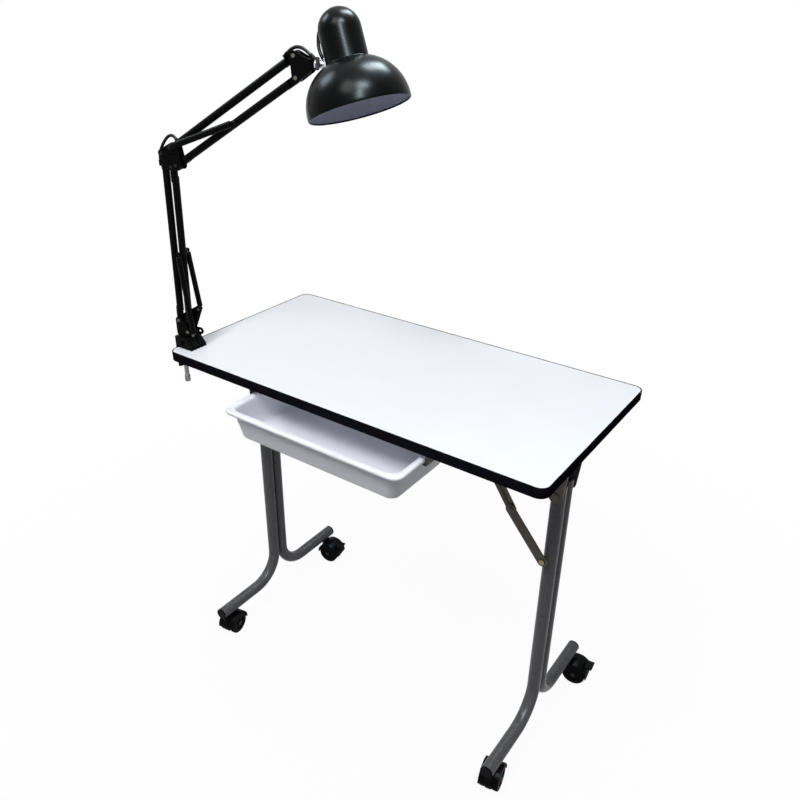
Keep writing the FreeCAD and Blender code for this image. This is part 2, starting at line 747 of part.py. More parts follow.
def caster(label, x, y, turn, brake):
    tag = label + "_"
    place = FreeCAD.Placement(V(x, y, 0), FreeCAD.Rotation(Z_AXIS, turn))
    side = HOOD_WIDTH + " / 2"
    drum = rod(tag + "drum", "y", ("trail", "-" + side, "wheel_radius"), HOOD_IN + " + hood_thick",
               HOOD_WIDTH)
    upper = box(tag + "upper", ("trail - 2 * wheel_radius", "-wheel_radius", "wheel_radius - hood_low"),
                "4 * wheel_radius", "2 * wheel_radius", "2 * wheel_radius")
    arch = doc.addObject("Part::Common", tag + "arch")
    arch.Base = drum
    arch.Tool = upper
    web = rod(tag + "web", "y", ("trail", "-web_width / 2", "wheel_radius"), HOOD_IN, "web_width")
    web_cut = box(tag + "web_cut",
                  ("trail - 2 * wheel_radius", "-wheel_radius",
                   "wheel_radius - web_low - 2 * wheel_radius"),
                  "4 * wheel_radius", "2 * wheel_radius", "2 * wheel_radius")
    web_half = less(tag + "web_half", web, [web_cut])
    boss_top = "(foot_height - tube_radius - boss_gap)"
    boss = rod(tag + "boss", "z", ("0", "0", "wheel_radius"), "boss_radius", boss_top + " - wheel_radius")
    solids = [arch, web_half, boss]
    angle = math.radians(size("brake_angle"))
    pivot = V(size("trail") + size("brake_reach") * math.cos(angle), 0,
              size("wheel_radius") + size("brake_reach") * math.sin(angle))
    lug_half = size("brake_lug_width") / 2
    if brake:
        foot = V(size("trail") + size("wheel_radius") * math.cos(angle), 0,
                 size("wheel_radius") + size("wheel_radius") * math.sin(angle))
        solids.append(pill(tag + "lug", foot, pivot, size("brake_barrel"), -lug_half, lug_half))
    cuts = []
    for end, low in (("a", "web_width / 2"), ("b", "-web_width / 2 - wheel_radius")):
        cuts.append(rod(tag + "pocket_" + end, "y", ("trail", low, "wheel_radius"), HOOD_IN,
                        "wheel_radius"))
    cuts.append(rod(tag + "axle_hole", "y", ("trail", "-web_width", "wheel_radius"), "axle_radius",
                    "2 * web_width"))
    cuts.append(rod(tag + "stem_hole", "z", ("0", "0", boss_top + " - stem_seat"), "stem_radius",
                    "2 * stem_seat"))
    if brake:
        lug_hole = size("brake_pin_radius") + size("run_clear")
        cuts.append(cross_pin(tag + "lug_hole", pivot, lug_hole, -2 * lug_half, 2 * lug_half))
    node(less(tag + "body", join(tag + "blank", solids), cuts), label + "_hood", place)
    # stem and axle, both of steel
    stem = rod(tag + "stem", "z", ("0", "0", boss_top + " - stem_seat"), "stem_radius",
               "stem_top - %s + stem_seat" % boss_top)
    axle_half = "(web_width / 2 + wheel_gap + wheel_width)"
    shaft = rod(tag + "shaft", "y", ("trail", "-%s" % axle_half, "wheel_radius"), "axle_radius",
                "2 * " + axle_half)
    ends = []
    for end, low in (("a", axle_half + " + run_clear"), ("b", "-%s - run_clear - axle_cap" % axle_half)):
        ends.append(rod(tag + "axle_end_" + end, "y", ("trail", low, "wheel_radius"), "axle_cap_radius",
                        "axle_cap"))
    stub = rod(tag + "stub", "y", ("trail", "-%s - axle_cap" % axle_half, "wheel_radius"), "axle_radius",
               "2 * %s + 2 * axle_cap" % axle_half)
    node(group(tag + "steel", [stem, join(tag + "axle", [shaft, stub] + ends)]), label + "_pins", place)
    # the pair of wheels
    wheels = []
    for end, low, dish in (("a", "web_width / 2 + wheel_gap",
                            "web_width / 2 + wheel_gap + wheel_width - hub_depth"),
                           ("b", "-web_width / 2 - wheel_gap - wheel_width",
                            "-web_width / 2 - wheel_gap - wheel_width")):
        disc = rod(tag + "disc_" + end, "y", ("trail", low, "wheel_radius"), "wheel_radius", "wheel_width")
        soft = rounded(tag + "tread_" + end, disc, size("tread_round"), round_edge)
        hollow = rod(tag + "dish_" + end, "y", ("trail", dish, "wheel_radius"), "hub_radius", "hub_depth")
        hub = rod(tag + "hub_" + end, "y", ("trail", dish, "wheel_radius"), "axle_cap_radius + hub_rim",
                  "hub_depth")
        bore = rod(tag + "bore_" + end, "y", ("trail", low, "wheel_radius"), "axle_radius + run_clear",
                   "wheel_width")
        wheels.append(less(tag + "wheel_" + end, soft, [less(tag + "ring_" + end, hollow, [hub]), bore]))
    node(group(tag + "wheel_pair", wheels), label + "_wheels", place)
    if not brake:
        return
    # brake pedal on the lug
    wide = size("brake_width") / 2
    pin = cross_pin(tag + "brake_pin", pivot, size("brake_pin_radius"), -wide, wide)
    barrels = []
    near = lug_half + size("brake_clear")
    for end, low, high in (("a", near, wide), ("b", -wide, -near)):
        barrels.append(cross_pin(tag + "barrel_" + end, pivot, size("brake_barrel"), low, high))
    plate = doc.addObject("Part::Box", tag + "pedal")
    plate.Length = size("brake_length")
    plate.Width = 2 * wide
    plate.Height = size("brake_thick")
    plate.Placement.Base = V(pivot.x, -wide, pivot.z + size("brake_barrel") - size("brake_thick"))
    clear = size("brake_barrel") + size("brake_clear")
    notch = cross_pin(tag + "notch", pivot, clear, -near, near)
    pedal = less(tag + "pedal_plate", plate, [notch])
    node(join(tag + "brake", [pin, pedal] + barrels), label + "_brake", place)


leg_x = size("leg_offset")
stem_y = size("stem_reach")
caster("caster_right_front", leg_x, -stem_y, size("front_turn_angle"), False)
caster("caster_left_front", -leg_x, -stem_y, size("front_turn_angle"), False)
caster("caster_right_back", leg_x, stem_y, size("back_turn_angle"), True)
caster("caster_left_back", -leg_x, stem_y, size("back_turn_angle"), True)

# Lamp clamp on the left end of the board
END = "(-top_length / 2)"
LAMP_X = "(-top_length / 2 + lamp_from_end)"
LOW_Y = "(lamp_y - clamp_width / 2)"
OUT_X = "(%s - clamp_clear - clamp_wall)" % END
socket_top = size("top_height") + size("socket_height")
ROD_X = "(-top_length / 2 + rod_from_end)"
ROD_Y = "(lamp_y - rod_shift)"
LOWER_Y = "(%s - lower_jaw_width / 2)" % ROD_Y
wall = box("clamp_back", (OUT_X, LOW_Y, UNDER), "clamp_wall", "clamp_width", "board_thick + socket_height")
leg = box("clamp_leg", (OUT_X, LOWER_Y, UNDER + " - jaw_drop - jaw_thick"), "clamp_wall", "lower_jaw_width",
          "board_thick + jaw_drop + jaw_thick")
jaw = box("clamp_jaw", (OUT_X, LOW_Y, "top_height"), "clamp_wall + clamp_clear + jaw_reach", "clamp_width",
          "jaw_front")
socket = box("clamp_socket", (OUT_X, LOW_Y, "top_height"), "clamp_wall + clamp_clear + socket_reach",
             "clamp_width",
             "socket_height")
lower_length = "(clamp_wall + clamp_clear + lower_jaw_reach)"
lower = box("clamp_lower", (OUT_X, LOWER_Y, UNDER + " - jaw_drop - lower_jaw_tip"), lower_length,
            "lower_jaw_width",
            "lower_jaw_tip")
TIPPED = FreeCAD.Rotation(X_AXIS, 90)
gusset = make("Wedge", "clamp_gusset", (OUT_X, LOWER_Y, UNDER + " - jaw_drop - jaw_thick"), TIPPED,
              Xmin="0", Xmax="clamp_wall", Ymin="0", Ymax="jaw_thick - lower_jaw_tip",
              Zmin="-lower_jaw_width", Zmax="0", X2min="0", X2max=lower_length,
              Z2min="-lower_jaw_width", Z2max="0")
ramp = make("Wedge", "clamp_ramp", (END + " + socket_reach", LOW_Y, "top_height + jaw_front"), TIPPED,
            Xmin="0", Xmax="jaw_reach - socket_reach", Ymin="0", Ymax="socket_height - jaw_front",
            Zmin="-clamp_width", Zmax="0", X2min="0", X2max="ramp_top", Z2min="-clamp_width", Z2max="0")
cuts = []
for number in range(4):
    y = "lamp_y + %s * rib_step - rib_width / 2" % (number - 1.5)
    cuts.append(box("clamp_rib%d" % number, (END + " + jaw_reach - rib_depth", y, "top_height"),
                    "rib_depth", "rib_width", "socket_height"))
    groove = make("Wedge", "clamp_groove%d" % number, (END + " + socket_reach", y,
                                                       "top_height + jaw_front"),
                  FreeCAD.Rotation(X_AXIS, 90),
                  Xmin="jaw_reach - socket_reach - 2 * rib_depth", Xmax="jaw_reach",
                  Ymin="0", Ymax="socket_height - jaw_front", Zmin="-rib_width", Zmax="0",
                  X2min="ramp_top - 2 * rib_depth", X2max="jaw_reach", Z2min="-rib_width", Z2max="0")
    cuts.append(groove)
cuts.append(rod("socket_hole", "z", (LAMP_X, "lamp_y",
                                     "top_height + socket_height - post_length - cut_over"),
                "post_radius + run_clear", "2 * post_length"))
cuts.append(rod("rod_hole", "z", (ROD_X, ROD_Y, UNDER + " - jaw_drop - 2 * jaw_thick"),
                "screw_rod_radius + run_clear", "2 * jaw_thick + jaw_drop"))
set_z = "top_height + socket_height / 2"
cuts.append(rod("set_hole", "y", (LAMP_X, LOW_Y + " - cut_over", set_z), "set_screw_radius",
                "clamp_width / 2 + cut_over"))
node(less("clamp_form", join("clamp_blank", [wall, leg, jaw, socket, lower, gusset, ramp]), cuts),
     "clamp_body")
shank_length = "(clamp_width / 2 - post_radius - 2 * base_gap)"
set_shank = rod("set_shank", "y", (LAMP_X, LOW_Y, set_z), "set_screw_radius", shank_length)
set_cap = rod("set_cap", "y", (LAMP_X, LOW_Y + " - set_head", set_z), "set_head_radius", "set_head")
node(join("set_screw", [set_shank, set_cap]), "clamp_set_screw")
pad_low = "(%s - pad_thick)" % UNDER
node(rod("pad", "z", (ROD_X, ROD_Y, pad_low), "pad_radius", "pad_thick"), "clamp_pad")
rod_low = "(%s - jaw_drop - jaw_thick - screw_rod_low)" % UNDER
rod_shank = rod("rod_shank", "z", (ROD_X, ROD_Y, rod_low), "screw_rod_radius",
                "%s - %s" % (pad_low, rod_low))
grip = rod("rod_grip", "z", (ROD_X, ROD_Y, rod_low), "screw_grip_radius", "screw_grip")
grip_soft = rounded("grip_soft", grip, size("screw_grip_radius") / 3, round_edge)
node(join("clamp_rod", [rod_shank, grip_soft]), "clamp_screw")

# Lamp arm, drawn in a frame of its own: the swivel axis is Z, the arm lies in the XZ plane
lamp = FreeCAD.Placement(V(-size("top_length") / 2 + size("lamp_from_end"), size("lamp_y"), 0),
                         FreeCAD.Rotation(Z_AXIS, size("lamp_yaw_angle")))


def polar(length, angle):
    return V(length * math.cos(math.radians(angle)), 0, length * math.sin(math.radians(angle)))


lower_link = polar(size("lower_link"), -size("lower_link_angle"))
upper_link = polar(size("upper_link"), -size("upper_link_angle"))
base_a = V(-size("pivot_back"), 0, size("top_height") + size("pivot_rise"))
base_b = base_a + lower_link
elbow_a = base_a + polar(size("lower_length"), size("lower_angle"))
elbow_b = elbow_a + lower_link
upper_a = elbow_a + V(size("upper_pivot_out"), 0, size("upper_pivot_rise"))
upper_b = upper_a + upper_link
head_a = upper_a + polar(size("upper_length"), size("upper_angle"))
head_b = head_a + upper_link
knuckle = head_a + V(size("knuckle_reach"), 0, -size("knuckle_drop"))
ear_point = V(size("ear_out"), 0, base_a.z + size("ear_rise"))
near_point = V(size("near_anchor_out"), 0, base_a.z - size("near_anchor_drop"))
plate_in = size("lamp_plate_half")
plate_out = plate_in + size("lamp_plate")
pivot = size("pivot_radius")
spring_end = size("spring_pin_end")


def two_plates(tag, spans):
    # front and back plates that follow the same spans; a span may be on one side only
    parts = []
    for number, (a, b, radius, sides) in enumerate(spans):
        for side in sides:
            low, high = (plate_in, plate_out) if side > 0 else (-plate_out, -plate_in)
            parts.append(pill("%s_plate%d%s" % (tag, number, "b" if side > 0 else "f"), a, b, radius, low,
                              high))
    return parts


def pivot_pin(tag, point, low, high):
    head = size("pivot_head")
    radius = size("pivot_head_radius")
    shank = cross_pin(tag + "_shank", point, pivot, low, high)
    front = cross_pin(tag + "_front", point, radius, low - head, low)
    back = cross_pin(tag + "_back", point, radius, high, high + head)
    return join(tag, [shank, front, back])


# base bracket with its post
disc_low = "(top_height + socket_height + base_gap)"
post = rod("base_post", "z", ("0", "0", "top_height + socket_height - post_length"), "post_radius",
           "post_length + base_gap + base_disc")
disc = rod("base_plate_disc", "z", ("0", "0", disc_low), "base_disc_radius", "base_disc")
round_size = size("lamp_plate_round")
disc_top = socket_top + size("base_gap") + size("base_disc")
foot_a = V(-size("pivot_back"), 0, disc_top + round_size / 2)
foot_b = V(size("near_anchor_out") - round_size / 2, 0, disc_top + round_size / 2)
base_middle = (base_a + base_b) * 0.5
ear_round = size("ear_round")
BOTH = (-1, 1)
BACK = (1,)
spans = [(base_a, base_b, round_size, BOTH), (foot_a, foot_b, round_size, BOTH),
         (base_a, foot_a, round_size, BOTH),
         (base_b, near_point, round_size, BOTH), (base_a, ear_point, ear_round, BACK),
         (base_b, ear_point, ear_round, BACK), (base_middle, ear_point, ear_round, BACK)]
base_parts = two_plates("base", spans)
keep = doc.addObject("Part::Box", "base_keep")
keep.Length = 10 * size("base_disc_radius")
keep.Width = 10 * size("base_disc_radius")
keep.Height = size("lower_length")
keep.Placement.Base = V(-5 * size("base_disc_radius"), -5 * size("base_disc_radius"),
                        disc_top - size("base_disc"))
cheeks = doc.addObject("Part::Common", "base_cheeks")
cheeks.Base = join("base_cheek_blank", base_parts)
cheeks.Tool = keep
holes = []
for number, point in enumerate((base_a, base_b, near_point, ear_point)):
    holes.append(cross_pin("base_hole%d" % number, point, pivot, -2 * plate_out, 2 * plate_out))
node(join("base_whole", [post, disc, less("base_drilled", cheeks, holes)]), "lamp_base", lamp)
base_pins = [pivot_pin("base_pin_a", base_a, -plate_out, plate_out),
             pivot_pin("base_pin_b", base_b, -plate_out, plate_out)]
base_pins.append(cross_pin("near_pin", near_point, pivot, -spring_end, -plate_in))
base_pins.append(cross_pin("ear_pin", ear_point, pivot, plate_in, spring_end))
node(group("base_pin_set", base_pins), "lamp_base_pins", lamp)

# elbow and head brackets
elbow_corner = elbow_a + V(size("elbow_corner_out"), 0, -size("elbow_corner_drop"))
elbow_lines = [(elbow_a, elbow_b), (elbow_a, upper_a), (upper_a, upper_b), (elbow_b, upper_b),
               (elbow_a, upper_b),
               (upper_a, elbow_corner), (elbow_b, elbow_corner)]
elbow_spans = [(a, b, round_size, BOTH) for a, b in elbow_lines]
elbow_pivots = (elbow_a, elbow_b, upper_a, upper_b)
elbow = two_plates("elbow", elbow_spans)
elbow_plates = []
for side, letter, low, high in (("front", "f", -2 * plate_out, 0), ("back", "b", 0, 2 * plate_out)):
    blank = join("elbow_%s_blank" % side, [item for item in elbow if item.Name.endswith(letter)])
    holes = [cross_pin("elbow_%s_hole%d" % (side, n), p, pivot, low, high) for n,
             p in enumerate(elbow_pivots)]
    elbow_plates.append(less("elbow_" + side, blank, holes))
node(group("elbow_plates_pair", elbow_plates), "lamp_elbow", lamp)
# the spring hooks on a longer pin
elbow_pins = [pivot_pin("elbow_pin%d" % n, p, -spring_end if p == upper_a else -plate_out, plate_out)
              for n, p in enumerate(elbow_pivots)]
node(group("elbow_pin_set", elbow_pins), "lamp_elbow_pins", lamp)

head_middle = (head_a + head_b) * 0.5
head_tip = V(knuckle.x - size("nose_back") + size("head_corner_in"), 0, knuckle.z)
head_high = head_tip + V(0, 0, size("nose_height") / 2 - round_size)
head_low = head_tip - V(0, 0, size("head_corner_drop"))
head_lines = [(head_a, head_b), (head_a, head_high), (head_high, head_low), (head_b, head_low),
              (head_middle, head_tip), (head_a, head_low)]
head_spans = [(a, b, round_size, BOTH) for a, b in head_lines]
head_parts = two_plates("head", head_spans)
nose = doc.addObject("Part::Box", "head_nose")
nose.Length = size("nose_back") - size("nose_front")
nose.Width = 2 * plate_in
nose.Height = size("nose_height")
nose.Placement.Base = V(knuckle.x - size("nose_back"), -plate_in, knuckle.z - size("nose_height") / 2)
head_cord = [head_a + V(size("head_cord_start_out"), 0, size("head_cord_start_rise")),
             head_a + V(size("head_cord_rise_out"), 0, size("head_cord_peak_rise")),
             head_a + V(size("head_cord_fall_out"), 0, size("head_cord_peak_rise")),
             head_a + V(size("head_cord_end_out"), 0, size("head_cord_end_rise"))]


def onward(points, length):
    # where a cord that leaves the last point straight on gets to
    run = points[-1] - points[-2]
    return points[-1] + run * (length / run.Length)


gland = size("gland_length")
nose_gland = slanted_rod("nose_gland", head_cord[-1], onward(head_cord, gland), "gland_radius")
holes = [cross_pin("head_hole%d" % n, p, pivot, -2 * plate_out, 2 * plate_out) for n,
         p in enumerate((head_a, head_b))]
stud_hole = doc.addObject("Part::Cylinder", "stud_hole")
stud_hole.Radius = size("stud_radius") + size("run_clear")
stud_hole.Height = 3 * size("nose_back")
stud_hole.Placement = FreeCAD.Placement(V(knuckle.x - 2 * size("nose_back"), 0, knuckle.z), TURNS["x"])
node(less("head_form", join("head_blank", head_parts + [nose, nose_gland]), holes + [stud_hole]),
     "lamp_head", lamp)
node(group("head_pin_set", [pivot_pin("head_pin_a", head_a, -plate_out, plate_out),
                            pivot_pin("head_pin_b", head_b, -plate_out,
                                      plate_out)]), "lamp_head_pins", lamp)

# Bars, each drawn along X from its first pivot
tongue = size("tongue_length")
bar_radius = size("bar_radius")
elbow_cord = [elbow_a + V(size("elbow_cord_%s_out" % spot), 0, size("elbow_cord_%s_rise" % spot))
              for spot in ("start", "turn", "peak", "end")]


def bar(label, start, length, angle, side, clip=None, clip_ends=(0, 0), glands=()):
    tag = label + "_"
    place = FreeCAD.Placement(start, FreeCAD.Rotation(Y_AXIS, -angle))
    low = size("tongue_gap") if side > 0 else -size("tongue_gap") - size("tongue_thick")
    high = low + size("tongue_thick")
    tube = doc.addObject("Part::Cylinder", tag + "tube")
    tube.Radius = bar_radius
    tube.Height = length - 2 * tongue
    tube.Placement = FreeCAD.Placement(V(tongue, 0, 0), TURNS["x"])
    core = doc.addObject("Part::Cylinder", tag + "core")
    core.Radius = bar_radius - size("bar_wall")
    core.Height = length - 2 * tongue
    core.Placement = FreeCAD.Placement(V(tongue, 0, 0), TURNS["x"])
    parts = [less(tag + "hollow", tube, [core])]
    near_end = V(tongue + bar_radius, 0, 0)
    far_end = V(length - tongue - bar_radius, 0, 0)
    parts.append(pill(tag + "root", V(0, 0, 0), near_end, bar_radius, low, high))
    parts.append(pill(tag + "tip", far_end, V(length, 0, 0), bar_radius, low, high))
    if clip is not None:
        parts.append(cross_pin(tag + "clip", V(clip, 0, 0), pivot, clip_ends[0], clip_ends[1]))
    back = place.inverse()
    for number, (outside, inside) in enumerate(glands):
        a = back.multVec(outside)
        b = back.multVec(inside)
        parts.append(slanted_rod("%sgland%d" % (tag, number), a, b, "gland_radius"))
    holes = [cross_pin(tag + "hole0", V(0, 0, 0), pivot + size("run_clear"), -bar_radius, bar_radius),
             cross_pin(tag + "hole1", V(length, 0, 0), pivot + size("run_clear"), -bar_radius, bar_radius)]
    node(less(tag + "bar", join(tag + "blank", parts), holes), label, lamp.multiply(place))


start_gland = (elbow_cord[0], onward(elbow_cord[1::-1], gland))
end_gland = (elbow_cord[-1], onward(elbow_cord, gland))
head_gland = (head_cord[0], onward(head_cord[1::-1], gland))
lean = size("lower_angle")
rise = size("upper_angle")
lower_length = size("lower_length")
upper_length = size("upper_length")
bar("lamp_lower_rear", base_a, lower_length, lean, -1, glands=[start_gland])
bar("lamp_lower_front", base_b, lower_length, lean, -1, size("lower_clip"), (-spring_end, spring_end))
bar("lamp_upper_top", upper_a, upper_length, rise, 1, glands=[end_gland, head_gland])
bar("lamp_upper_low", upper_b, upper_length, rise, 1, size("upper_clip"), (-spring_end, bar_radius))


# Balance springs in their sleeves, each with an eye round the pin at both ends
def spring(label, a, b, y, radius):
    a = V(a.x, y, a.z)
    b = V(b.x, y, b.z)
    run = b - a
    along = V(run.x, run.y, run.z).normalize()
    hook = size("spring_hook")
    tag = label + "_"
    parts = [slanted_rod(tag + "sleeve", a + along * hook, b - along * hook, radius)]
    eye = size("spring_eye")
    for end, point, way in (("low", a, 1), ("high", b, -1)):
        ring = doc.addObject("Part::Torus", tag + end + "_eye")
        ring.Radius1 = eye
        ring.Radius2 = size("spring_wire")
        ring.Placement = FreeCAD.Placement(point, TURNS["y"])
        wire_end = point + along * (way * (hook + over))
        wire = slanted_rod(tag + end + "_wire", point + along * (way * eye), wire_end, "spring_wire")
        parts += [ring, wire]
    node(join(tag + "spring", parts), label, lamp)


side = size("spring_side")
lower_clip = base_b + polar(size("lower_clip"), lean)
upper_clip = upper_b + polar(size("upper_clip"), rise)
spring("spring_lower_near", near_point, lower_clip, -side, "spring_radius")
spring("spring_lower_far", ear_point, lower_clip, side, "spring_radius")
spring("spring_upper", upper_a, upper_clip, -side, "upper_spring_radius")


# Lamp cord where it shows: straight runs joined by arcs, in the plane of the arm
def cord(label, points, bend, place):
    runs = []
    here = points[0]
    long = 0.0
    for before, corner, after in zip(points, points[1:], points[2:]):
        way_in = (corner - before).normalize()
        way_out = (after - corner).normalize()
        turn = way_in.getAngle(way_out)
        back = bend * math.tan(turn / 2)
        first = corner - way_in * back
        last = corner + way_out * back
        middle = corner + (way_out - way_in).normalize() * (bend / math.cos(turn / 2))
        bow = middle - (middle - corner).normalize() * bend
        runs.append(Part.LineSegment(here, first).toShape())
        runs.append(Part.Arc(first, bow, last).toShape())
        long += (first - here).Length + bend * turn
        here = last
    runs.append(Part.LineSegment(here, points[-1]).toShape())
    long += (points[-1] - here).Length
    path = Part.Wire(runs)
    ring = Part.Wire(Part.makeCircle(size("cord_radius"), points[0], points[1] - points[0]))
    item = doc.addObject("Part::Feature", label + "_run")
    item.Shape = path.makePipeShell([ring], True, False)
    node(item, label, place)
    section = math.pi * size("cord_radius") ** 2
    print("%s: length %.1f, bend %.1f, volume %.0f, section by length %.0f" % (
        label, long, bend, item.Shape.Volume, section * long))


cord("cord_elbow", elbow_cord, size("elbow_cord_bend"), lamp)
cord("cord_head", head_cord, size("head_cord_bend"), lamp)

# Knuckle: a stud in the nose of the head bracket with a yoke, rolled with the shade
roll = FreeCAD.Placement(knuckle, FreeCAD.Rotation(X_AXIS, size("shade_roll_angle")))
knuckle_place = lamp.multiply(roll)


def along_x(name, radius, low, high):
    item = doc.addObject("Part::Cylinder", name)
    item.Radius = radius
    item.Height = high - low
    item.Placement = FreeCAD.Placement(V(low, 0, 0), TURNS["x"])
    return item


gap = size("base_gap")
nose_back = size("nose_back")
nose_front = size("nose_front")
stud = along_x("stud", size("stud_radius"), -nose_back - gap - size("stud_collar_thick"),
               -nose_front + gap + over)
collar = along_x("stud_collar_disc", size("stud_collar"), -nose_back - gap - size("stud_collar_thick"),
                 -nose_back - gap)
disc_low = -nose_front + gap
yoke_disc = along_x("yoke_disc_form", size("yoke_disc_radius"), disc_low, disc_low + size("yoke_disc"))
ears = []
ear_in = size("yoke_inside")
ear_out = ear_in + size("yoke_ear")
for end, low, high in (("back", ear_in, ear_out), ("front", -ear_out, -ear_in)):
    ear_start = V(disc_low + size("yoke_disc") - over, 0, 0)
    ears.append(pill("yoke_ear_" + end, ear_start, V(0, 0, 0), size("yoke_round"), low, high))
ear_keep = doc.addObject("Part::Box", "yoke_keep")
ear_keep.Length = 4 * size("yoke_round")
ear_keep.Width = 4 * ear_out
ear_keep.Height = 4 * size("yoke_round")
ear_keep.Placement.Base = V(disc_low, -2 * ear_out, -2 * size("yoke_round"))
ear_form = doc.addObject("Part::Common", "yoke_ears")
ear_form.Base = join("yoke_ear_pair", ears)
ear_form.Tool = ear_keep
tilt_pin = size("tilt_pin_radius")
yoke = less("yoke_form", join("yoke_blank", [stud, collar, yoke_disc, ear_form]),
            [cross_pin("yoke_hole", V(0, 0, 0), tilt_pin, -2 * ear_out, 2 * ear_out)])
node(yoke, "lamp_knuckle", knuckle_place)
wing_hub = size("wing_hub")
wing_thick = size("wing_thick")
screw_body = cross_pin("tilt_shank", V(0, 0, 0), tilt_pin, -ear_out, ear_out)
screw_cap = cross_pin("tilt_cap", V(0, 0, 0), wing_hub, ear_out, ear_out + wing_thick)
hub = cross_pin("wing_hub_form", V(0, 0, 0), wing_hub, -ear_out - 2 * wing_thick, -ear_out)
wing_end = V(0, 0, size("wing_span") - wing_thick)
wing = pill("wing_form", -wing_end, wing_end, wing_thick,
            -ear_out - 3 * wing_thick, -ear_out - wing_thick)
node(join("tilt_whole", [screw_body, screw_cap, hub, wing]), "lamp_tilt_screw", knuckle_place)

# Shade, drawn with its opening in the XY plane and its axis up
shade_turn = FreeCAD.Placement(V(0, 0, 0), FreeCAD.Rotation(Y_AXIS, -size("shade_tilt_angle")))
shade_place = knuckle_place.multiply(shade_turn).multiply(
    FreeCAD.Placement(V(size("knuckle_out"), 0, -size("knuckle_up")), FLAT))

SOUTH_POLE = -90.0


def ball(name, radius, z, low=SOUTH_POLE):
    item = make("Sphere", name, ("0", "0", z), Radius=radius)
    item.Angle1 = low
    return item


def dome(name, wall, lip):
    # turned about Z: a straight run at the opening, then one arc up to the axis
    bend = size("dome_bend") - wall
    middle = V(size("dome_radius") - size("dome_bend"), 0, size("dome_rise"))
    top = V(0, 0, middle.z + math.sqrt(bend ** 2 - middle.x ** 2))
    edge = V(middle.x + bend, 0, middle.z)
    half = math.atan2(top.z - middle.z, top.x - middle.x) / 2
    bow = middle + V(bend * math.cos(half), 0, bend * math.sin(half))
    corner = V(edge.x, 0, wall)
    start = V(lip, 0, wall)
    lines = [(V(0, 0, wall), start), (start, corner), (corner, edge), (top, V(0, 0, wall))]
    edges = [Part.LineSegment(a, b).toShape() for a, b in lines if (b - a).Length > 0]
    edges.insert(-1, Part.Arc(edge, bow, top).toShape())
    item = doc.addObject("Part::Feature", name)
    item.Shape = Part.Face(Part.Wire(edges)).revolve(V(0, 0, 0), Z_AXIS, 360)
    return item


outer_dome = dome("dome_outer", 0, size("shade_lip"))
neck = rod("neck_outer", "z", ("0", "0", "dome_rise"), "neck_radius", "neck_straight - dome_rise")
cap = ball("cap_outer", "neck_radius", "neck_straight", 0.0)
tab_round = size("tab_height") / 2
tab_end = V(-size("knuckle_out"), 0, size("knuckle_up"))
tab = pill("shade_tab", tab_end, V(-size("neck_radius"), 0, size("knuckle_up")), tab_round,
           -size("tab_thick") / 2, size("tab_thick") / 2)
riser_low = V(-size("riser_low_out"), 0, size("riser_low_up"))
riser_corner = V(-size("riser_corner_out"), 0, size("riser_corner_up"))
riser_top = V(-size("riser_top_out"), 0, size("riser_top_up"))
riser_glands = [slanted_rod("riser_gland_top", riser_top, onward([riser_corner, riser_top], gland),
                            "tab_thick / 2"),
                slanted_rod("riser_gland_low", riser_low, onward([riser_corner, riser_low], gland / 2),
                            "tab_thick / 2")]
inner_dome = dome("dome_inner", size("shade_wall"), size("shade_lip"))
mouth = rod("shade_mouth", "z", ("0", "0", "-shade_wall"), "shade_lip", "3 * shade_wall")
inner_neck = rod("neck_inner", "z", ("0", "0", "dome_rise"), "neck_radius - shade_wall",
                 "neck_straight - dome_rise")
inner_cap = ball("cap_inner", "neck_radius - shade_wall", "neck_straight", 0.0)
seat = rod("cap_seat", "z", ("0", "0", "boss_low"), "boss_inside_radius", "neck_radius")
hollow = less("shade_hollow", join("shade_hollow_blank", [inner_dome, mouth, inner_neck, inner_cap]),
              [seat])
tab_hole = cross_pin("tab_hole", tab_end, tilt_pin + size("run_clear"), -size("tab_thick"),
                     size("tab_thick"))
shade_blank = join("shade_blank", [outer_dome, neck, cap, tab] + riser_glands)
node(less("shade_form", shade_blank, [hollow, tab_hole]), "shade_shell", shade_place)
holder = rod("holder_body", "z", ("0", "0", "holder_low"), "holder_radius", "holder_high - holder_low")
holder_stem = rod("holder_stem", "z", ("0", "0", "holder_high"), "holder_stud", "boss_low - holder_high")
node(join("holder_form", [holder, holder_stem]), "lamp_holder", shade_place)
globe = ball("bulb_globe", "bulb_radius", "bulb_middle")
stalk = rod("bulb_stalk", "z", ("0", "0", "bulb_middle"), "bulb_neck", "holder_low - bulb_middle")
globe_in = ball("bulb_globe_in", "bulb_radius - bulb_wall", "bulb_middle")
stalk_in = rod("bulb_stalk_in", "z", ("0", "0", "bulb_middle"), "bulb_neck - bulb_wall",
               "holder_low - bulb_middle")
bulb_solid = join("bulb_solid", [globe, stalk])
bulb_space = join("bulb_space", [globe_in, stalk_in])
node(less("bulb_form", bulb_solid, [bulb_space]), "lamp_bulb", shade_place)
cord("cord_riser", [riser_low, riser_corner, riser_top], size("riser_loop"), shade_place)

# Everything is worked out and tested before a file is written
doc.recompute()
for item in doc.Objects:
    if "Invalid" in item.State or "Error" in item.State:
        raise RuntimeError("not worked out: %s %s" % (item.Name, item.State))
os.makedirs("parts", exist_ok=True)
for item in NODES:
    shape = item.Shape
    if shape.isNull() or not shape.isValid():
        raise RuntimeError("bad shape: " + item.Label)
    if not shape.Solids:
        raise RuntimeError("no solid: " + item.Label)
for item in NODES:
    item.Shape.exportStep("parts/%s.step" % item.Label)
    print("%-28s solids %d volume %.0f" % (item.Label, len(item.Shape.Solids), item.Shape.Volume))
print(len(NODES), "nodes")
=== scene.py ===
import json
import math

import bpy
from mathutils import Matrix, Vector


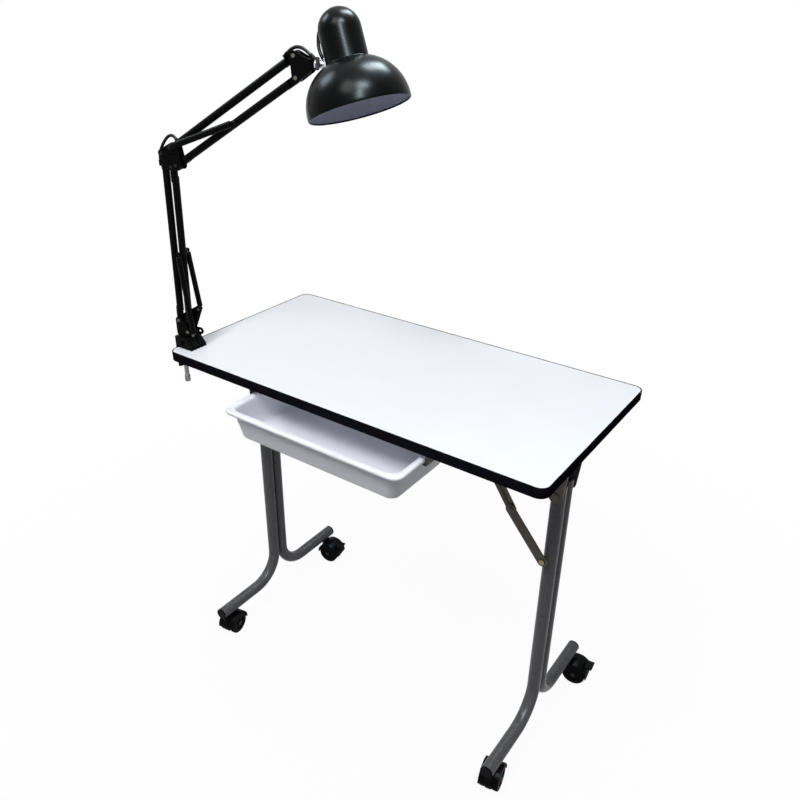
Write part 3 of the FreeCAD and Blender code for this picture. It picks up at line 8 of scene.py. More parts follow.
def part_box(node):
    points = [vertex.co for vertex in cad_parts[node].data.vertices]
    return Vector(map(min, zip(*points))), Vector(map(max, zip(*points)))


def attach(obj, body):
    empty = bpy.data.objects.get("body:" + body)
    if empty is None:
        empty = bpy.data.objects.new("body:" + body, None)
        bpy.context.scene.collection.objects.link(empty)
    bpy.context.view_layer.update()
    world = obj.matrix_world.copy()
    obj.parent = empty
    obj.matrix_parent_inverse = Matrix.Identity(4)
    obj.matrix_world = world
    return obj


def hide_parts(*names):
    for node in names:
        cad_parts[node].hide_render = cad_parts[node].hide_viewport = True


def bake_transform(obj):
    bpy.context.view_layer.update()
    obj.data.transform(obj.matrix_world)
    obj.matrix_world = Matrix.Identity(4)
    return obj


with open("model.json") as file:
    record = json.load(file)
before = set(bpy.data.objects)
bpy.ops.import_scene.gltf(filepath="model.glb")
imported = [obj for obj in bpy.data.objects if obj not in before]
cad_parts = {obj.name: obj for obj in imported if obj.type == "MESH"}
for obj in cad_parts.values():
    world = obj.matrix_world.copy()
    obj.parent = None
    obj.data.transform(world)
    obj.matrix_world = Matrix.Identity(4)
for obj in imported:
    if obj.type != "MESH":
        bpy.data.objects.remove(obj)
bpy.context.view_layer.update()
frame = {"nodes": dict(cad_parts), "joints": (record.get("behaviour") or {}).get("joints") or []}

# Folding manicure table with a clamped work lamp: finishes, soft and round pieces, stage and camera.
# Metres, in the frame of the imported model: X to the right, Y to the back, Z up, floor at zero.

MM = 0.001
nodes = frame["nodes"]
joints = {joint["name"]: joint for joint in frame["joints"]}


def pivot(name):
    return Vector(joints[name]["pos_m"])


def turn_axis(name):
    return Vector(joints[name]["axis"]).normalized()


# The arm lies in an upright plane: outwards, across and up
ARM_OUT = turn_axis("shade_swivel")
ARM_SIDE = turn_axis("lamp_lower_arm")
UP = Vector((0, 0, 1))


def arm_point(start, out, up, side=0.0):
    # a point at millimetres outwards, up and across from a pivot of the arm
    return start + (ARM_OUT * out + UP * up + ARM_SIDE * side) * MM


# Mesh helpers

# above this share of upright, a tube takes its first cross direction from X
STEEP = 0.9


def add_mesh(name, points, faces, matrix=None):
    mesh = bpy.data.meshes.new(name)
    placed = [matrix @ Vector(p) for p in points] if matrix else [Vector(p) for p in points]
    mesh.from_pydata([tuple(p) for p in placed], [], faces)
    mesh.update()
    for face in mesh.polygons:
        face.use_smooth = True
    piece = bpy.data.objects.new(name, mesh)
    bpy.context.scene.collection.objects.link(piece)
    return piece


def bridge(count, first, second):
    # quads between two closed rings of points
    faces = []
    for i in range(count):
        after = (i + 1) % count
        faces.append((first + i, first + after, second + after, second + i))
    return faces


def skin(rings, close_ends=True):
    # points and faces of a skin over closed rings; the ends get flat caps
    points = []
    faces = []
    count = len(rings[0])
    for number, ring in enumerate(rings):
        points.extend(ring)
        if number:
            faces.extend(bridge(count, (number - 1) * count, number * count))
    if close_ends:
        last = (len(rings) - 1) * count
        faces.append(tuple(reversed(range(count))))
        faces.append(tuple(range(last, last + count)))
    return points, faces


def lathe(name, profile, matrix, sides):
    # turns a profile of radius and height, in millimetres, about the Z axis; both ends close on the axis
    rings = []
    for radius, height in profile:
        ring = []
        for i in range(sides):
            angle = 2 * math.pi * i / sides
            ring.append(Vector((radius * math.cos(angle), radius * math.sin(angle), height)) * MM)
        rings.append(ring)
    points, faces = skin(rings, close_ends=False)
    last = (len(rings) - 1) * sides
    for first, height, flip in ((0, profile[0][1], True), (last, profile[-1][1], False)):
        points.append(Vector((0, 0, height)) * MM)
        pole = len(points) - 1
        for i in range(sides):
            a = first + i
            b = first + (i + 1) % sides
            faces.append((pole, b, a) if flip else (pole, a, b))
    return add_mesh(name, points, faces, matrix)


def tube(name, path, radii, sides):
    # a round tube along a path of points, with one radius for each, and flat ends
    rings = []
    across = None
    for i, point in enumerate(path):
        before = path[max(i - 1, 0)]
        after = path[min(i + 1, len(path) - 1)]
        along = (after - before).normalized()
        if across is None:
            helper = UP if abs(along.z) < STEEP else Vector((1, 0, 0))
            across = along.cross(helper).normalized()
        across = (across - along * across.dot(along)).normalized()
        other = along.cross(across)
        ring = []
        for k in range(sides):
            angle = 2 * math.pi * k / sides
            ring.append(point + (across * math.cos(angle) + other * math.sin(angle)) * radii[i])
        rings.append(ring)
    points, faces = skin(rings)
    return add_mesh(name, points, faces)


def arc(centre, radius, start, end, steps):
    # points of an arc in a profile plane, in degrees
    points = []
    for i in range(steps + 1):
        angle = math.radians(start + (end - start) * i / steps)
        points.append((centre[0] + radius * math.cos(angle), centre[1] + radius * math.sin(angle)))
    return points


def merge(name, items, material):
    # joins pieces into one object of one material
    points = []
    faces = []
    for item in items:
        shift = len(points)
        points.extend(v.co.copy() for v in item.data.vertices)
        for face in item.data.polygons:
            faces.append(tuple(shift + i for i in face.vertices))
        bpy.data.objects.remove(item)
    whole = add_mesh(name, points, faces)
    whole.data.materials.append(material)
    return whole


# Materials

# detail of the noise behind patches, bumps and worn edges
PATCH_DETAIL = 4.0
BUMP_DETAIL = 2.0
WEAR_DETAIL = 3.0
WEAR_SCALE = 160.0
WEAR_LEAST = 0.15
# how far the rounded normal leans from the face's own, as a cosine, where wear is full and where it ends
WEAR_FULL = 0.72
WEAR_END = 0.97
WEAR_SAMPLES = 4
LEAST_ROUGHNESS = 0.02
FLAKE_LOW = 0.2
FLAKE_HIGH = 0.8
FLAKE_SHARE = 0.5
# sockets of a colour mix
MIX_FIRST = 6
MIX_SECOND = 7
MIX_RESULT = 2


class Finish:
    # a surface with mottled colour, uneven gloss, fine bump and worn edges
    def __init__(self, name, colour, rough, metal, specular):
        self.material = bpy.data.materials.new(name)
        self.material.use_nodes = True
        self.tree = self.material.node_tree
        self.tree.nodes.clear()
        out = self.add("OutputMaterial")
        self.shader = self.add("BsdfPrincipled")
        self.link(self.shader.outputs[0], out.inputs[0])
        self.shader.inputs["Base Color"].default_value = (*colour, 1)
        self.shader.inputs["Roughness"].default_value = rough
        self.shader.inputs["Metallic"].default_value = metal
        self.shader.inputs["Specular IOR Level"].default_value = specular
        self.place = self.add("TexCoord").outputs["Object"]
        self.colour = colour
        self.rough = rough
        self.colour_out = None

    def add(self, kind, **settings):
        item = self.tree.nodes.new("ShaderNode" + kind)
        for key, value in settings.items():
            setattr(item, key, value)
        return item

    def link(self, start, end):
        self.tree.links.new(start, end)

    def stretched(self, scale):
        mapping = self.add("Mapping")
        mapping.inputs["Scale"].default_value = scale
        self.link(self.place, mapping.inputs["Vector"])
        return mapping.outputs["Vector"]

    def noise(self, scale, detail, stretch=None):
        texture = self.add("TexNoise")
        texture.inputs["Scale"].default_value = scale
        texture.inputs["Detail"].default_value = detail
        self.link(self.stretched(stretch) if stretch else self.place, texture.inputs["Vector"])
        return texture.outputs["Fac"]

    def cells(self, scale):
        texture = self.add("TexVoronoi")
        texture.inputs["Scale"].default_value = scale
        self.link(self.place, texture.inputs["Vector"])
        return texture.outputs["Color"]

    def spread(self, source, low, high, start=0.3, end=0.7):
        ramp = self.add("MapRange")
        ramp.inputs["From Min"].default_value = start
        ramp.inputs["From Max"].default_value = end
        ramp.inputs["To Min"].default_value = low
        ramp.inputs["To Max"].default_value = high
        self.link(source, ramp.inputs["Value"])
        return ramp.outputs["Result"]

    def mix(self, share, first, second):
        item = self.add("Mix", data_type="RGBA")
        self.link(share, item.inputs["Factor"])
        for socket, value in ((item.inputs[MIX_FIRST], first), (item.inputs[MIX_SECOND], second)):
            if isinstance(value, tuple):
                socket.default_value = (*value, 1)
            else:
                self.link(value, socket)
        return item.outputs[MIX_RESULT]

    def shades(self, amount):
        # the base colour, darker and lighter
        dark = tuple(c * (1 - amount) for c in self.colour)
        light = tuple(min(1.0, c * (1 + amount)) for c in self.colour)
        return dark, light

    def mottle(self, scale, amount):
        # light and dark patches about the base colour
        share = self.spread(self.noise(scale, PATCH_DETAIL), 0.0, 1.0)
        self.colour_out = self.mix(share, *self.shades(amount))

    def flakes(self, scale, amount):
        # bright and dull specks of a metallic coat, over the patches
        grey = self.add("RGBToBW")
        self.link(self.cells(scale), grey.inputs[0])
        share = self.spread(grey.outputs[0], 0.0, 1.0, FLAKE_LOW, FLAKE_HIGH)
        fleck = self.mix(share, *self.shades(amount))
        both = self.add("Mix", data_type="RGBA")
        both.inputs["Factor"].default_value = FLAKE_SHARE
        self.link(self.colour_out, both.inputs[MIX_FIRST])
        self.link(fleck, both.inputs[MIX_SECOND])
        self.colour_out = both.outputs[MIX_RESULT]

    def uneven(self, scale, swing):
        # patches of more and less gloss
        low = max(LEAST_ROUGHNESS, self.rough - swing)
        patches = self.spread(self.noise(scale, PATCH_DETAIL), low, self.rough + swing)
        self.link(patches, self.shader.inputs["Roughness"])

    def bump(self, scale, strength, depth, stretch=None):
        item = self.add("Bump")
        item.inputs["Strength"].default_value = strength
        item.inputs["Distance"].default_value = depth
        self.link(self.noise(scale, BUMP_DETAIL, stretch), item.inputs["Height"])
        self.link(item.outputs["Normal"], self.shader.inputs["Normal"])

    def worn(self, colour, amount, width):
        # edges rubbed to another colour, broken up by noise
        soft = self.add("Bevel", samples=WEAR_SAMPLES)
        soft.inputs["Radius"].default_value = width
        shape = self.add("NewGeometry")
        dot = self.add("VectorMath", operation="DOT_PRODUCT")
        self.link(soft.outputs["Normal"], dot.inputs[0])
        self.link(shape.outputs["Normal"], dot.inputs[1])
        edge = self.spread(dot.outputs["Value"], amount, 0.0, WEAR_FULL, WEAR_END)
        patch = self.spread(self.noise(WEAR_SCALE, WEAR_DETAIL), WEAR_LEAST, 1.0)
        share = self.add("Math", operation="MULTIPLY")
        self.link(edge, share.inputs[0])
        self.link(patch, share.inputs[1])
        self.colour_out = self.mix(share.outputs[0], self.colour_out, colour)

    def coat(self, weight, rough):
        self.shader.inputs["Coat Weight"].default_value = weight
        self.shader.inputs["Coat Roughness"].default_value = rough

    def done(self):
        self.link(self.colour_out, self.shader.inputs["Base Color"])
        return self.material


def finish(name, colour, rough, mottle, uneven, bump, metal=0.0, specular=0.5,
           flakes=None, worn=None, coat=None):
    # mottle: patch scale, amount; uneven: patch scale, swing of the roughness;
    # bump: scale, strength, depth in metres and the grain's stretch; flakes: scale, amount;
    # worn: colour, amount, width in metres; coat: weight, roughness
    surface = Finish(name, colour, rough, metal, specular)
    surface.mottle(*mottle)
    if flakes:
        surface.flakes(*flakes)
    surface.uneven(*uneven)
    surface.bump(*bump)
    if worn:
        surface.worn(*worn)
    if coat:
        surface.coat(*coat)
    return surface.done()


laminate = finish(
    "white_laminate", (0.80, 0.825, 0.86), 0.36, specular=0.15,
    mottle=(9.0, 0.012), uneven=(30.0, 0.06), bump=(2600.0, 0.10, 0.0002))
band_black = finish(
    "black_band", (0.006, 0.006, 0.0095), 0.5, specular=0.0,
    mottle=(60.0, 0.25), uneven=(90.0, 0.08), bump=(900.0, 0.12, 0.0002),
    worn=((0.014, 0.014, 0.02), 0.4, 0.0009))
leg_silver = finish(
    "silver_paint", (0.105, 0.105, 0.11), 0.3, specular=0.12,
    mottle=(25.0, 0.06), flakes=(1900.0, 0.22), uneven=(60.0, 0.05), bump=(1500.0, 0.14, 0.0002))
steel = finish(
    "grey_steel", (0.075, 0.066, 0.056), 0.38, metal=0.25, specular=0.2,
    mottle=(70.0, 0.16), uneven=(110.0, 0.09), bump=(500.0, 0.10, 0.0002, (1.0, 1.0, 0.15)),
    worn=((0.16, 0.145, 0.12), 0.5, 0.0007))
rivet_steel = finish(
    "rivet_steel", (0.22, 0.185, 0.115), 0.3, metal=0.9,
    mottle=(160.0, 0.2), uneven=(200.0, 0.08), bump=(900.0, 0.1, 0.0001))
black_plastic = finish(
    "black_plastic", (0.0026, 0.0026, 0.003), 0.4, specular=0.025,
    mottle=(80.0, 0.2), uneven=(70.0, 0.08), bump=(1400.0, 0.2, 0.0002),
    worn=((0.018, 0.018, 0.02), 0.4, 0.0008))
white_plastic = finish(
    "white_plastic", (0.80, 0.805, 0.86), 0.38, specular=0.2,
    mottle=(14.0, 0.02), uneven=(40.0, 0.05), bump=(1100.0, 0.06, 0.0002))
wheel_black = finish(
    "black_wheel", (0.003, 0.003, 0.0032), 0.45, specular=0.02,
    mottle=(120.0, 0.3), uneven=(90.0, 0.1), bump=(700.0, 0.2, 0.0003),
    worn=((0.02, 0.02, 0.02), 0.3, 0.0009))
lamp_black = finish(
    "black_paint", (0.0012, 0.0012, 0.0012), 0.34, specular=0.035,
    mottle=(50.0, 0.2), uneven=(45.0, 0.05), bump=(1700.0, 0.10, 0.0002),
    worn=((0.014, 0.012, 0.011), 0.3, 0.0006))
shade_black = finish(
    "shade_paint", (0.0012, 0.0014, 0.0015), 0.27, specular=0.055,
    mottle=(30.0, 0.15), uneven=(26.0, 0.02), bump=(1500.0, 0.03, 0.0002))
# inside of the shade: its white paint is given a darker, bluish grey, painted shade of the unlit inside
shade_inside_painted_shade = finish(
    "shade_inside", (0.48, 0.49, 0.60), 0.55, specular=0.25,
    mottle=(22.0, 0.04), uneven=(40.0, 0.06), bump=(1200.0, 0.08, 0.0002))
chrome = finish(
    "chrome", (0.74, 0.74, 0.77), 0.13, metal=1.0,
    mottle=(60.0, 0.05), uneven=(120.0, 0.05), bump=(500.0, 0.05, 0.0001))
dark_chrome = finish(
    "dark_chrome", (0.055, 0.05, 0.06), 0.25, metal=1.0,
    mottle=(60.0, 0.08), uneven=(120.0, 0.05), bump=(500.0, 0.05, 0.0001))
rubber = finish(
    "cord_rubber", (0.002, 0.002, 0.0024), 0.36, specular=0.12,
    mottle=(150.0, 0.2), uneven=(120.0, 0.08), bump=(900.0, 0.12, 0.0002))
glass = finish(
    "lamp_glass", (0.82, 0.82, 0.80), 0.4,
    mottle=(40.0, 0.03), uneven=(60.0, 0.06), bump=(1500.0, 0.08, 0.0001), coat=(0.4, 0.15))
screw_steel = finish(
    "screw_steel", (0.22, 0.2, 0.2), 0.28, metal=0.85,
    mottle=(120.0, 0.12), uneven=(150.0, 0.08), bump=(900.0, 0.1, 0.0001))
pin_steel = finish(
    "pin_steel", (0.11, 0.105, 0.085), 0.42, metal=0.7,
    mottle=(160.0, 0.2), uneven=(200.0, 0.08), bump=(900.0, 0.1, 0.0001))
pin_dark = finish(
    "pin_dark", (0.012, 0.012, 0.011), 0.42, specular=0.1,
    mottle=(160.0, 0.2), uneven=(200.0, 0.08), bump=(900.0, 0.1, 0.0001))

NODE_FINISH = (
    (laminate, "top_board"),
    (band_black, "top_band"),
    (leg_silver, "leg_frame_right leg_frame_left"),
    (steel, "leg_bracket_right leg_bracket_left brace_upper_right brace_upper_left brace_lower_right "
            "brace_lower_left brace_mount_right brace_mount_left tray_rails hinge_pins"),
    (rivet_steel, "underside_screws brace_top_rivets brace_pin_right brace_pin_left"),
    (screw_steel, "clamp_screw"),
    (pin_steel, "lamp_base_pins lamp_head_pins"),
    (pin_dark, "lamp_elbow_pins"),
    (black_plastic, "leg_caps_right leg_caps_left clamp_body clamp_pad clamp_set_screw lamp_holder"),
    (lamp_black, "lamp_base lamp_elbow lamp_head lamp_lower_rear lamp_lower_front lamp_upper_top "
                 "lamp_upper_low"),
    (dark_chrome, "lamp_tilt_screw"),
    (chrome, "lamp_knuckle"),
    (glass, "lamp_bulb"),
)
CASTERS = ("right_front", "left_front", "right_back", "left_back")

# Small rounded edges on the machined and moulded nodes, in millimetres
EDGE_WIDTHS = (
    (0.9, "clamp_body"),
    (0.5, "leg_bracket_right leg_bracket_left brace_upper_right brace_upper_left brace_lower_right "
          "brace_lower_left"),
    (0.5, "lamp_base lamp_elbow lamp_head tray_rails brace_mount_right brace_mount_left"),
    (0.8, "leg_caps_right leg_caps_left top_band"),
    (0.45, "lamp_knuckle lamp_tilt_screw clamp_set_screw lamp_base_pins lamp_elbow_pins lamp_head_pins"),
    (0.5, "hinge_pins brace_pin_right brace_pin_left brace_top_rivets underside_screws"),
)
# piece of a caster, its finish and its edge width; the pins keep their edges, and two casters have no brake
CASTER_DRESS = (
    ("hood", black_plastic, 0.8),
    ("wheels", wheel_black, 0.6),
    ("pins", pin_dark, None),
    ("brake", black_plastic, 0.7),
)
WELD_DISTANCE = 0.00002
EDGE_SEGMENTS = 2
EDGE_ANGLE = math.radians(35)


def dress(name, material):
    slots = nodes[name].data.materials
    slots.clear()
    slots.append(material)


def soften(name, width):
    piece = nodes[name]
    weld = piece.modifiers.new("weld", "WELD")
    weld.merge_threshold = WELD_DISTANCE
    edge = piece.modifiers.new("edge", "BEVEL")
    edge.width = width * MM
    edge.segments = EDGE_SEGMENTS
    edge.limit_method = "ANGLE"
    edge.angle_limit = EDGE_ANGLE
    edge.harden_normals = True


def dress_casters():
    for spot in CASTERS:
        for part, material, width in CASTER_DRESS:
            name = "caster_%s_%s" % (spot, part)
            if name not in nodes:
                continue
            dress(name, material)
            if width:
                soften(name, width)


for material, names in NODE_FINISH:
    for name in names.split():
        dress(name, material)
for width, names in EDGE_WIDTHS:
    for name in names.split():
        soften(name, width)
dress_casters()

# Tray: a moulded bin, skinned over rounded rectangles from the underside over the rim to the inside floor
TRAY_CORNER = 20.0
# how much smaller the corner gets with each millimetre of inset
TRAY_CORNER_EASE = 0.2
CORNER_STEPS = 10
# inset from the outside of the rim, height above the underside, both in millimetres
TRAY_OUTSIDE = (
    (30.0, 0.0), (24.0, 0.4), (21.4, 1.8), (20.0, 4.6), (19.3, 8.0), (15.2, 28.0), (12.4, 42.0), (11.2, 46.2),
    (8.6, 49.2), (5.2, 50.8), (2.2, 51.5), (0.7, 52.6), (0.0, 54.4), (0.3, 56.6), (1.5, 58.2), (3.6, 59.0))
TRAY_INSIDE = (
    (7.0, 59.0), (10.0, 58.7), (12.4, 57.6), (14.0, 55.6), (15.0, 52.5), (16.6, 40.0), (19.6, 22.0),
    (21.8, 9.0), (23.6, 5.2), (27.0, 3.2), (32.0, 2.6))
QUAD = 4


def rounded_ring(half_x, half_y, radius, height):
    ring = []
    corners = ((1, 1, 0), (-1, 1, 90), (-1, -1, 180), (1, -1, 270))
    for sign_x, sign_y, start in corners:
        for i in range(CORNER_STEPS + 1):
            angle = math.radians(start + 90 * i / CORNER_STEPS)
            ring.append((sign_x * (half_x - radius) + radius * math.cos(angle),
                         sign_y * (half_y - radius) + radius * math.sin(angle), height))
    return ring


def make_tray():
    low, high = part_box("tray_bin")
    middle = (low + high) / 2
    half_x = (high.x - low.x) / 2
    half_y = (high.y - low.y) / 2
    rings = []
    for inset, height in TRAY_OUTSIDE + TRAY_INSIDE:
        radius = (TRAY_CORNER - TRAY_CORNER_EASE * inset) * MM
        ring = rounded_ring(half_x - inset * MM, half_y - inset * MM, radius, low.z + height * MM)
        rings.append([(x + middle.x, y + middle.y, z) for x, y, z in ring])
    points, faces = skin(rings)
    piece = add_mesh("tray_moulding", points, faces)
    piece.data.materials.append(white_plastic)
    # the two flat ends stay flat
    for face in piece.data.polygons:
        face.use_smooth = len(face.vertices) == QUAD
    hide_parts("tray_bin")
    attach(piece, "tray")


make_tray()

# Lip of the edge band: a low bead round the white face, with the band's own corner radius
LIP_CORNER = 18.0
# inset from the outside of the band, height above the face, both in millimetres
LIP_SECTION = ((0.8, -0.6), (0.25, -0.2), (0.15, 0.15), (0.5, 0.4), (1.1, 0.45), (1.8, 0.35), (2.3, 0.1),
               (2.4, -0.6))


def make_lip():
    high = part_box("top_band")[1]
    rings = []
    for inset, height in LIP_SECTION + LIP_SECTION[:1]:
        radius = (LIP_CORNER - inset) * MM
        rings.append(rounded_ring(high.x - inset * MM, high.y - inset * MM, radius, high.z + height * MM))
    points, faces = skin(rings, close_ends=False)
    piece = add_mesh("edge_lip", points, faces)
    piece.data.materials.append(band_black)
    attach(piece, "table_top")


make_lip()

# Shade: the knuckle is its tilt pivot; its own frame has the opening at zero and the axis up
SHADE_TILT = math.radians(19.6)
KNUCKLE_OUT = 44.5
KNUCKLE_UP = 81.9
DOME_RADIUS = 81.7
DOME_BEND = 72.4
DOME_RISE = 4.3
DOME_FOOT = 1.8
SHADE_WALL = 1.0
NECK_RADIUS = 33.4
NECK_TOP = 117.2
NECK_MIDDLE = 104.0
NECK_LOW = 90.0
# crease between neck and dome: how much wider than the neck, how far above the dome, in millimetres
CREASE = ((0.0, 0.9), (0.06, 0.3))
CREASE_ANGLE = 0.4
# the round top starts short of its pole, and its inside starts above the neck, in degrees
POLE_ANGLE = 88
INNER_TOP_ANGLE = 4
# radius and height along the rolled edge, and along the inside up to the dome, in millimetres
SHADE_EDGE = ((81.45, 0.8), (81.1, 0.3), (80.6, 0.05), (80.0, 0.05), (79.4, 0.3), (79.1, 0.8))
SHADE_EDGE_INSIDE = ((79.1, 1.5), (79.6, 2.1), (80.3, 2.6))
# rings of the inside that stay black with the edge
BLACK_INSIDE = 2
SHADE_SIDES = 128
TOP_STEPS = 22
DOME_STEPS = 44
INNER_DOME_STEPS = 40
INNER_TOP_STEPS = 16

tilt_side = turn_axis("shade_tilt")
tilt_up = ARM_OUT.cross(tilt_side).normalized()
knuckle_turn = Matrix((ARM_OUT, tilt_side, tilt_up)).transposed().to_4x4()
SHADE = (Matrix.Translation(pivot("shade_tilt")) @ knuckle_turn @ Matrix.Rotation(-SHADE_TILT, 4, "Y")
         @ Matrix.Translation(Vector((KNUCKLE_OUT, 0, -KNUCKLE_UP)) * MM))


def shade_point(out, up, side=0.0):
    return SHADE @ (Vector((out, side, up)) * MM)


def make_shade():
    # neck with a round top, a crease, one arc down to the opening, a rolled edge and the same inside
    bend_out = DOME_RADIUS - DOME_BEND
    bend = (bend_out, DOME_RISE)
    top = (0, NECK_TOP)
    foot = math.acos((NECK_RADIUS - bend_out) / DOME_BEND)
    crease = DOME_RISE + DOME_BEND * math.sin(foot)
    outside = arc(top, NECK_RADIUS, POLE_ANGLE, 0, TOP_STEPS)
    outside += [(NECK_RADIUS, NECK_MIDDLE), (NECK_RADIUS, NECK_LOW)]
    outside += [(NECK_RADIUS + wider, crease + above) for wider, above in CREASE]
    outside += arc(bend, DOME_BEND, math.degrees(foot) - CREASE_ANGLE, 0, DOME_STEPS)
    outside += [(DOME_RADIUS, DOME_FOOT)]
    outside += SHADE_EDGE
    inner_bend = DOME_BEND - SHADE_WALL
    inner_neck = NECK_RADIUS - SHADE_WALL
    inner_foot = math.degrees(math.acos((inner_neck - bend_out) / inner_bend))
    inside = list(SHADE_EDGE_INSIDE)
    inside += arc(bend, inner_bend, 0, inner_foot, INNER_DOME_STEPS)
    inside += [(inner_neck, NECK_LOW), (inner_neck, NECK_TOP)]
    inside += arc(top, inner_neck, INNER_TOP_ANGLE, POLE_ANGLE, INNER_TOP_STEPS)
    piece = lathe("shade_spinning", outside + inside, SHADE, SHADE_SIDES)
    piece.data.materials.append(shade_black)
    piece.data.materials.append(shade_inside_painted_shade)
    first_pale = (len(outside) + BLACK_INSIDE) * SHADE_SIDES
    for face in piece.data.polygons:
        if min(face.vertices) >= first_pale:
            face.material_index = 1
    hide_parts("shade_shell")
    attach(piece, "lamp_shade")


make_shade()

# Strap of the shade: a bright folded plate from the neck to the tilt pivot
STRAP_HALF = 2.9
STRAP_EDGE = 5.0
STRAP_STEPS = 10
# how it widens at the neck: distance from the neck's skin, extra half height, in millimetres
STRAP_FLARE = ((-4.0, 0.0), (-1.0, 2.2), (0.6, 2.6))
STRAP_ROUND = 0.4
STRAP_CENTRE = 4.0
# place across and shrinking of the four outlines that it is skinned over
STRAP_LAYERS = ((-STRAP_HALF, STRAP_ROUND), (-STRAP_HALF + STRAP_ROUND, 0.0),
                (STRAP_HALF - STRAP_ROUND, 0.0), (STRAP_HALF, STRAP_ROUND))
STRAP_SPLIT = math.radians(40)


def make_strap():
    outline = arc((-KNUCKLE_OUT, KNUCKLE_UP), STRAP_EDGE, 90, 270, STRAP_STEPS)
    outline += [(-NECK_RADIUS + out, KNUCKLE_UP - STRAP_EDGE - wider) for out, wider in STRAP_FLARE]
    outline += [(-NECK_RADIUS + out, KNUCKLE_UP + STRAP_EDGE + wider) for out, wider in reversed(STRAP_FLARE)]
    middle = Vector((-KNUCKLE_OUT + STRAP_CENTRE, KNUCKLE_UP))
    rings = []
    for side, inset in STRAP_LAYERS:
        ring = []
        for x, z in outline:
            way = Vector((x, z)) - middle
            short = way * (1 - inset / max(way.length, 1.0))
            ring.append(shade_point(middle.x + short.x, middle.y + short.y, side))
        rings.append(ring)
    points, faces = skin(rings)
    piece = add_mesh("shade_strap", points, faces)
    piece.data.materials.append(chrome)
    edge = piece.modifiers.new("edge", "EDGE_SPLIT")
    edge.split_angle = STRAP_SPLIT
    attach(piece, "lamp_shade")


make_strap()

# Cords: each follows a smooth line through the same route as in the solids, in millimetres from a pivot
CORD_RADIUS = 2.7
CORD_SIDES = 24
ELBOW_ROUTE = ((-9.9, -14.0), (-10.2, 3.0), (18.5, 37.0), (27.5, 24.0))
HEAD_ROUTE = ((-14.0, 2.6), (-5.5, 11.5), (14.0, 11.5), (25.5, 1.0))
RISER_ROUTE = ((-38.5, 90.0), (-42.5, 104.5), (-37.0, 117.5))
LINE_STEPS = 24
LINE_ORDER = 3
# glands at the upper and the lower end of the neck cord: lengths, and radii at shares of the length
UPPER_GLAND = 9.0
LOWER_GLAND = 4.5
GLAND_SHARES = (0.0, 0.12, 0.5, 1.0)
GLAND_RADII = (2.55, 2.9, 2.9, 2.9)


def smooth_line(route):
    # points along a spline that has the route as its control points
    curve = bpy.data.curves.new("line", "CURVE")
    curve.dimensions = "3D"
    curve.resolution_u = LINE_STEPS
    spline = curve.splines.new("NURBS")
    spline.points.add(len(route) - 1)
    for knot, point in zip(spline.points, route):
        knot.co = (*point, 1.0)
    spline.order_u = LINE_ORDER
    spline.use_endpoint_u = True
    carrier = bpy.data.objects.new("line", curve)
    bpy.context.scene.collection.objects.link(carrier)
    bpy.context.view_layer.update()
    mesh = bpy.data.meshes.new_from_object(carrier.evaluated_get(bpy.context.evaluated_depsgraph_get()))
    points = [v.co.copy() for v in mesh.vertices]
    bpy.data.objects.remove(carrier)
    bpy.data.curves.remove(curve)
    bpy.data.meshes.remove(mesh)
    return points


def line_length(points):
    return sum((b - a).length for a, b in zip(points, points[1:]))


def make_cord(name, points):
    piece = tube(name, points, [CORD_RADIUS * MM] * len(points), CORD_SIDES)
    piece.data.materials.append(rubber)
    return piece


def make_elbow_cord():
    elbow = pivot("lamp_elbow_level")
    line = smooth_line([arm_point(elbow, out, up) for out, up in ELBOW_ROUTE])
    half = next(i for i in range(len(line)) if line_length(line[:i + 1]) > line_length(line) / 2)
    rear = line[:half + 1]
    front = line[half:]
    first = make_cord("elbow_cord_rear", rear)
    second = make_cord("elbow_cord_front", front)
    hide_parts("cord_elbow")
    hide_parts("cord_elbow")
    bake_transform(first)
    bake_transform(second)


def make_head_cord():
    head = pivot("lamp_head_level")
    line = smooth_line([arm_point(head, out, up) for out, up in HEAD_ROUTE])
    piece = make_cord("head_cord", line)
    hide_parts("cord_head")
    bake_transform(piece)


def make_riser():
    line = smooth_line([shade_point(out, up) for out, up in RISER_ROUTE])
    piece = make_cord("neck_cord", line)
    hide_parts("cord_riser")
    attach(piece, "lamp_shade")
    glands = []
    for near, far, length in ((line[-1], line[-2], UPPER_GLAND), (line[0], line[1], LOWER_GLAND)):
        way = (near - far).normalized()
        path = [near + way * (length * MM * share) for share in GLAND_SHARES]
        glands.append(tube("gland", path, [radius * MM for radius in GLAND_RADII], CORD_SIDES))
    whole = merge("neck_glands", glands, black_plastic)
    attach(whole, "lamp_shade")


make_elbow_cord()
make_head_cord()
make_riser()

# Balance springs: a wire with hooks at both ends of a sleeve with rounded ends, in millimetres
SPRING_WIRE = 0.9
WIRE_SIDES = 10
SPRING_EYE = 3.5
EYE_START = 20
EYE_TURN = 330
EYE_STEPS = 20
HOOK_START = 6.0
HOOK_LENGTH = 9.0
COIL_RADIUS = 3.4
COIL_GAP = 1.0
COIL_PITCH = 2.1
COIL_NARROW = 0.25
COIL_STEPS = 20
SLEEVE_RADIUS = 5.0
UPPER_SLEEVE_RADIUS = 5.6
SLEEVE_START = 4.0
SLEEVE_HOLE = 3.0
SLEEVE_ROUND = 1.0
# depth and length of the sleeve's shoulder
SHOULDER_DEPTH = 0.3
SHOULDER_START = 0.4
SHOULDER_END = 1.2
SLEEVE_RINGS = 12
SLEEVE_SIDES = 32


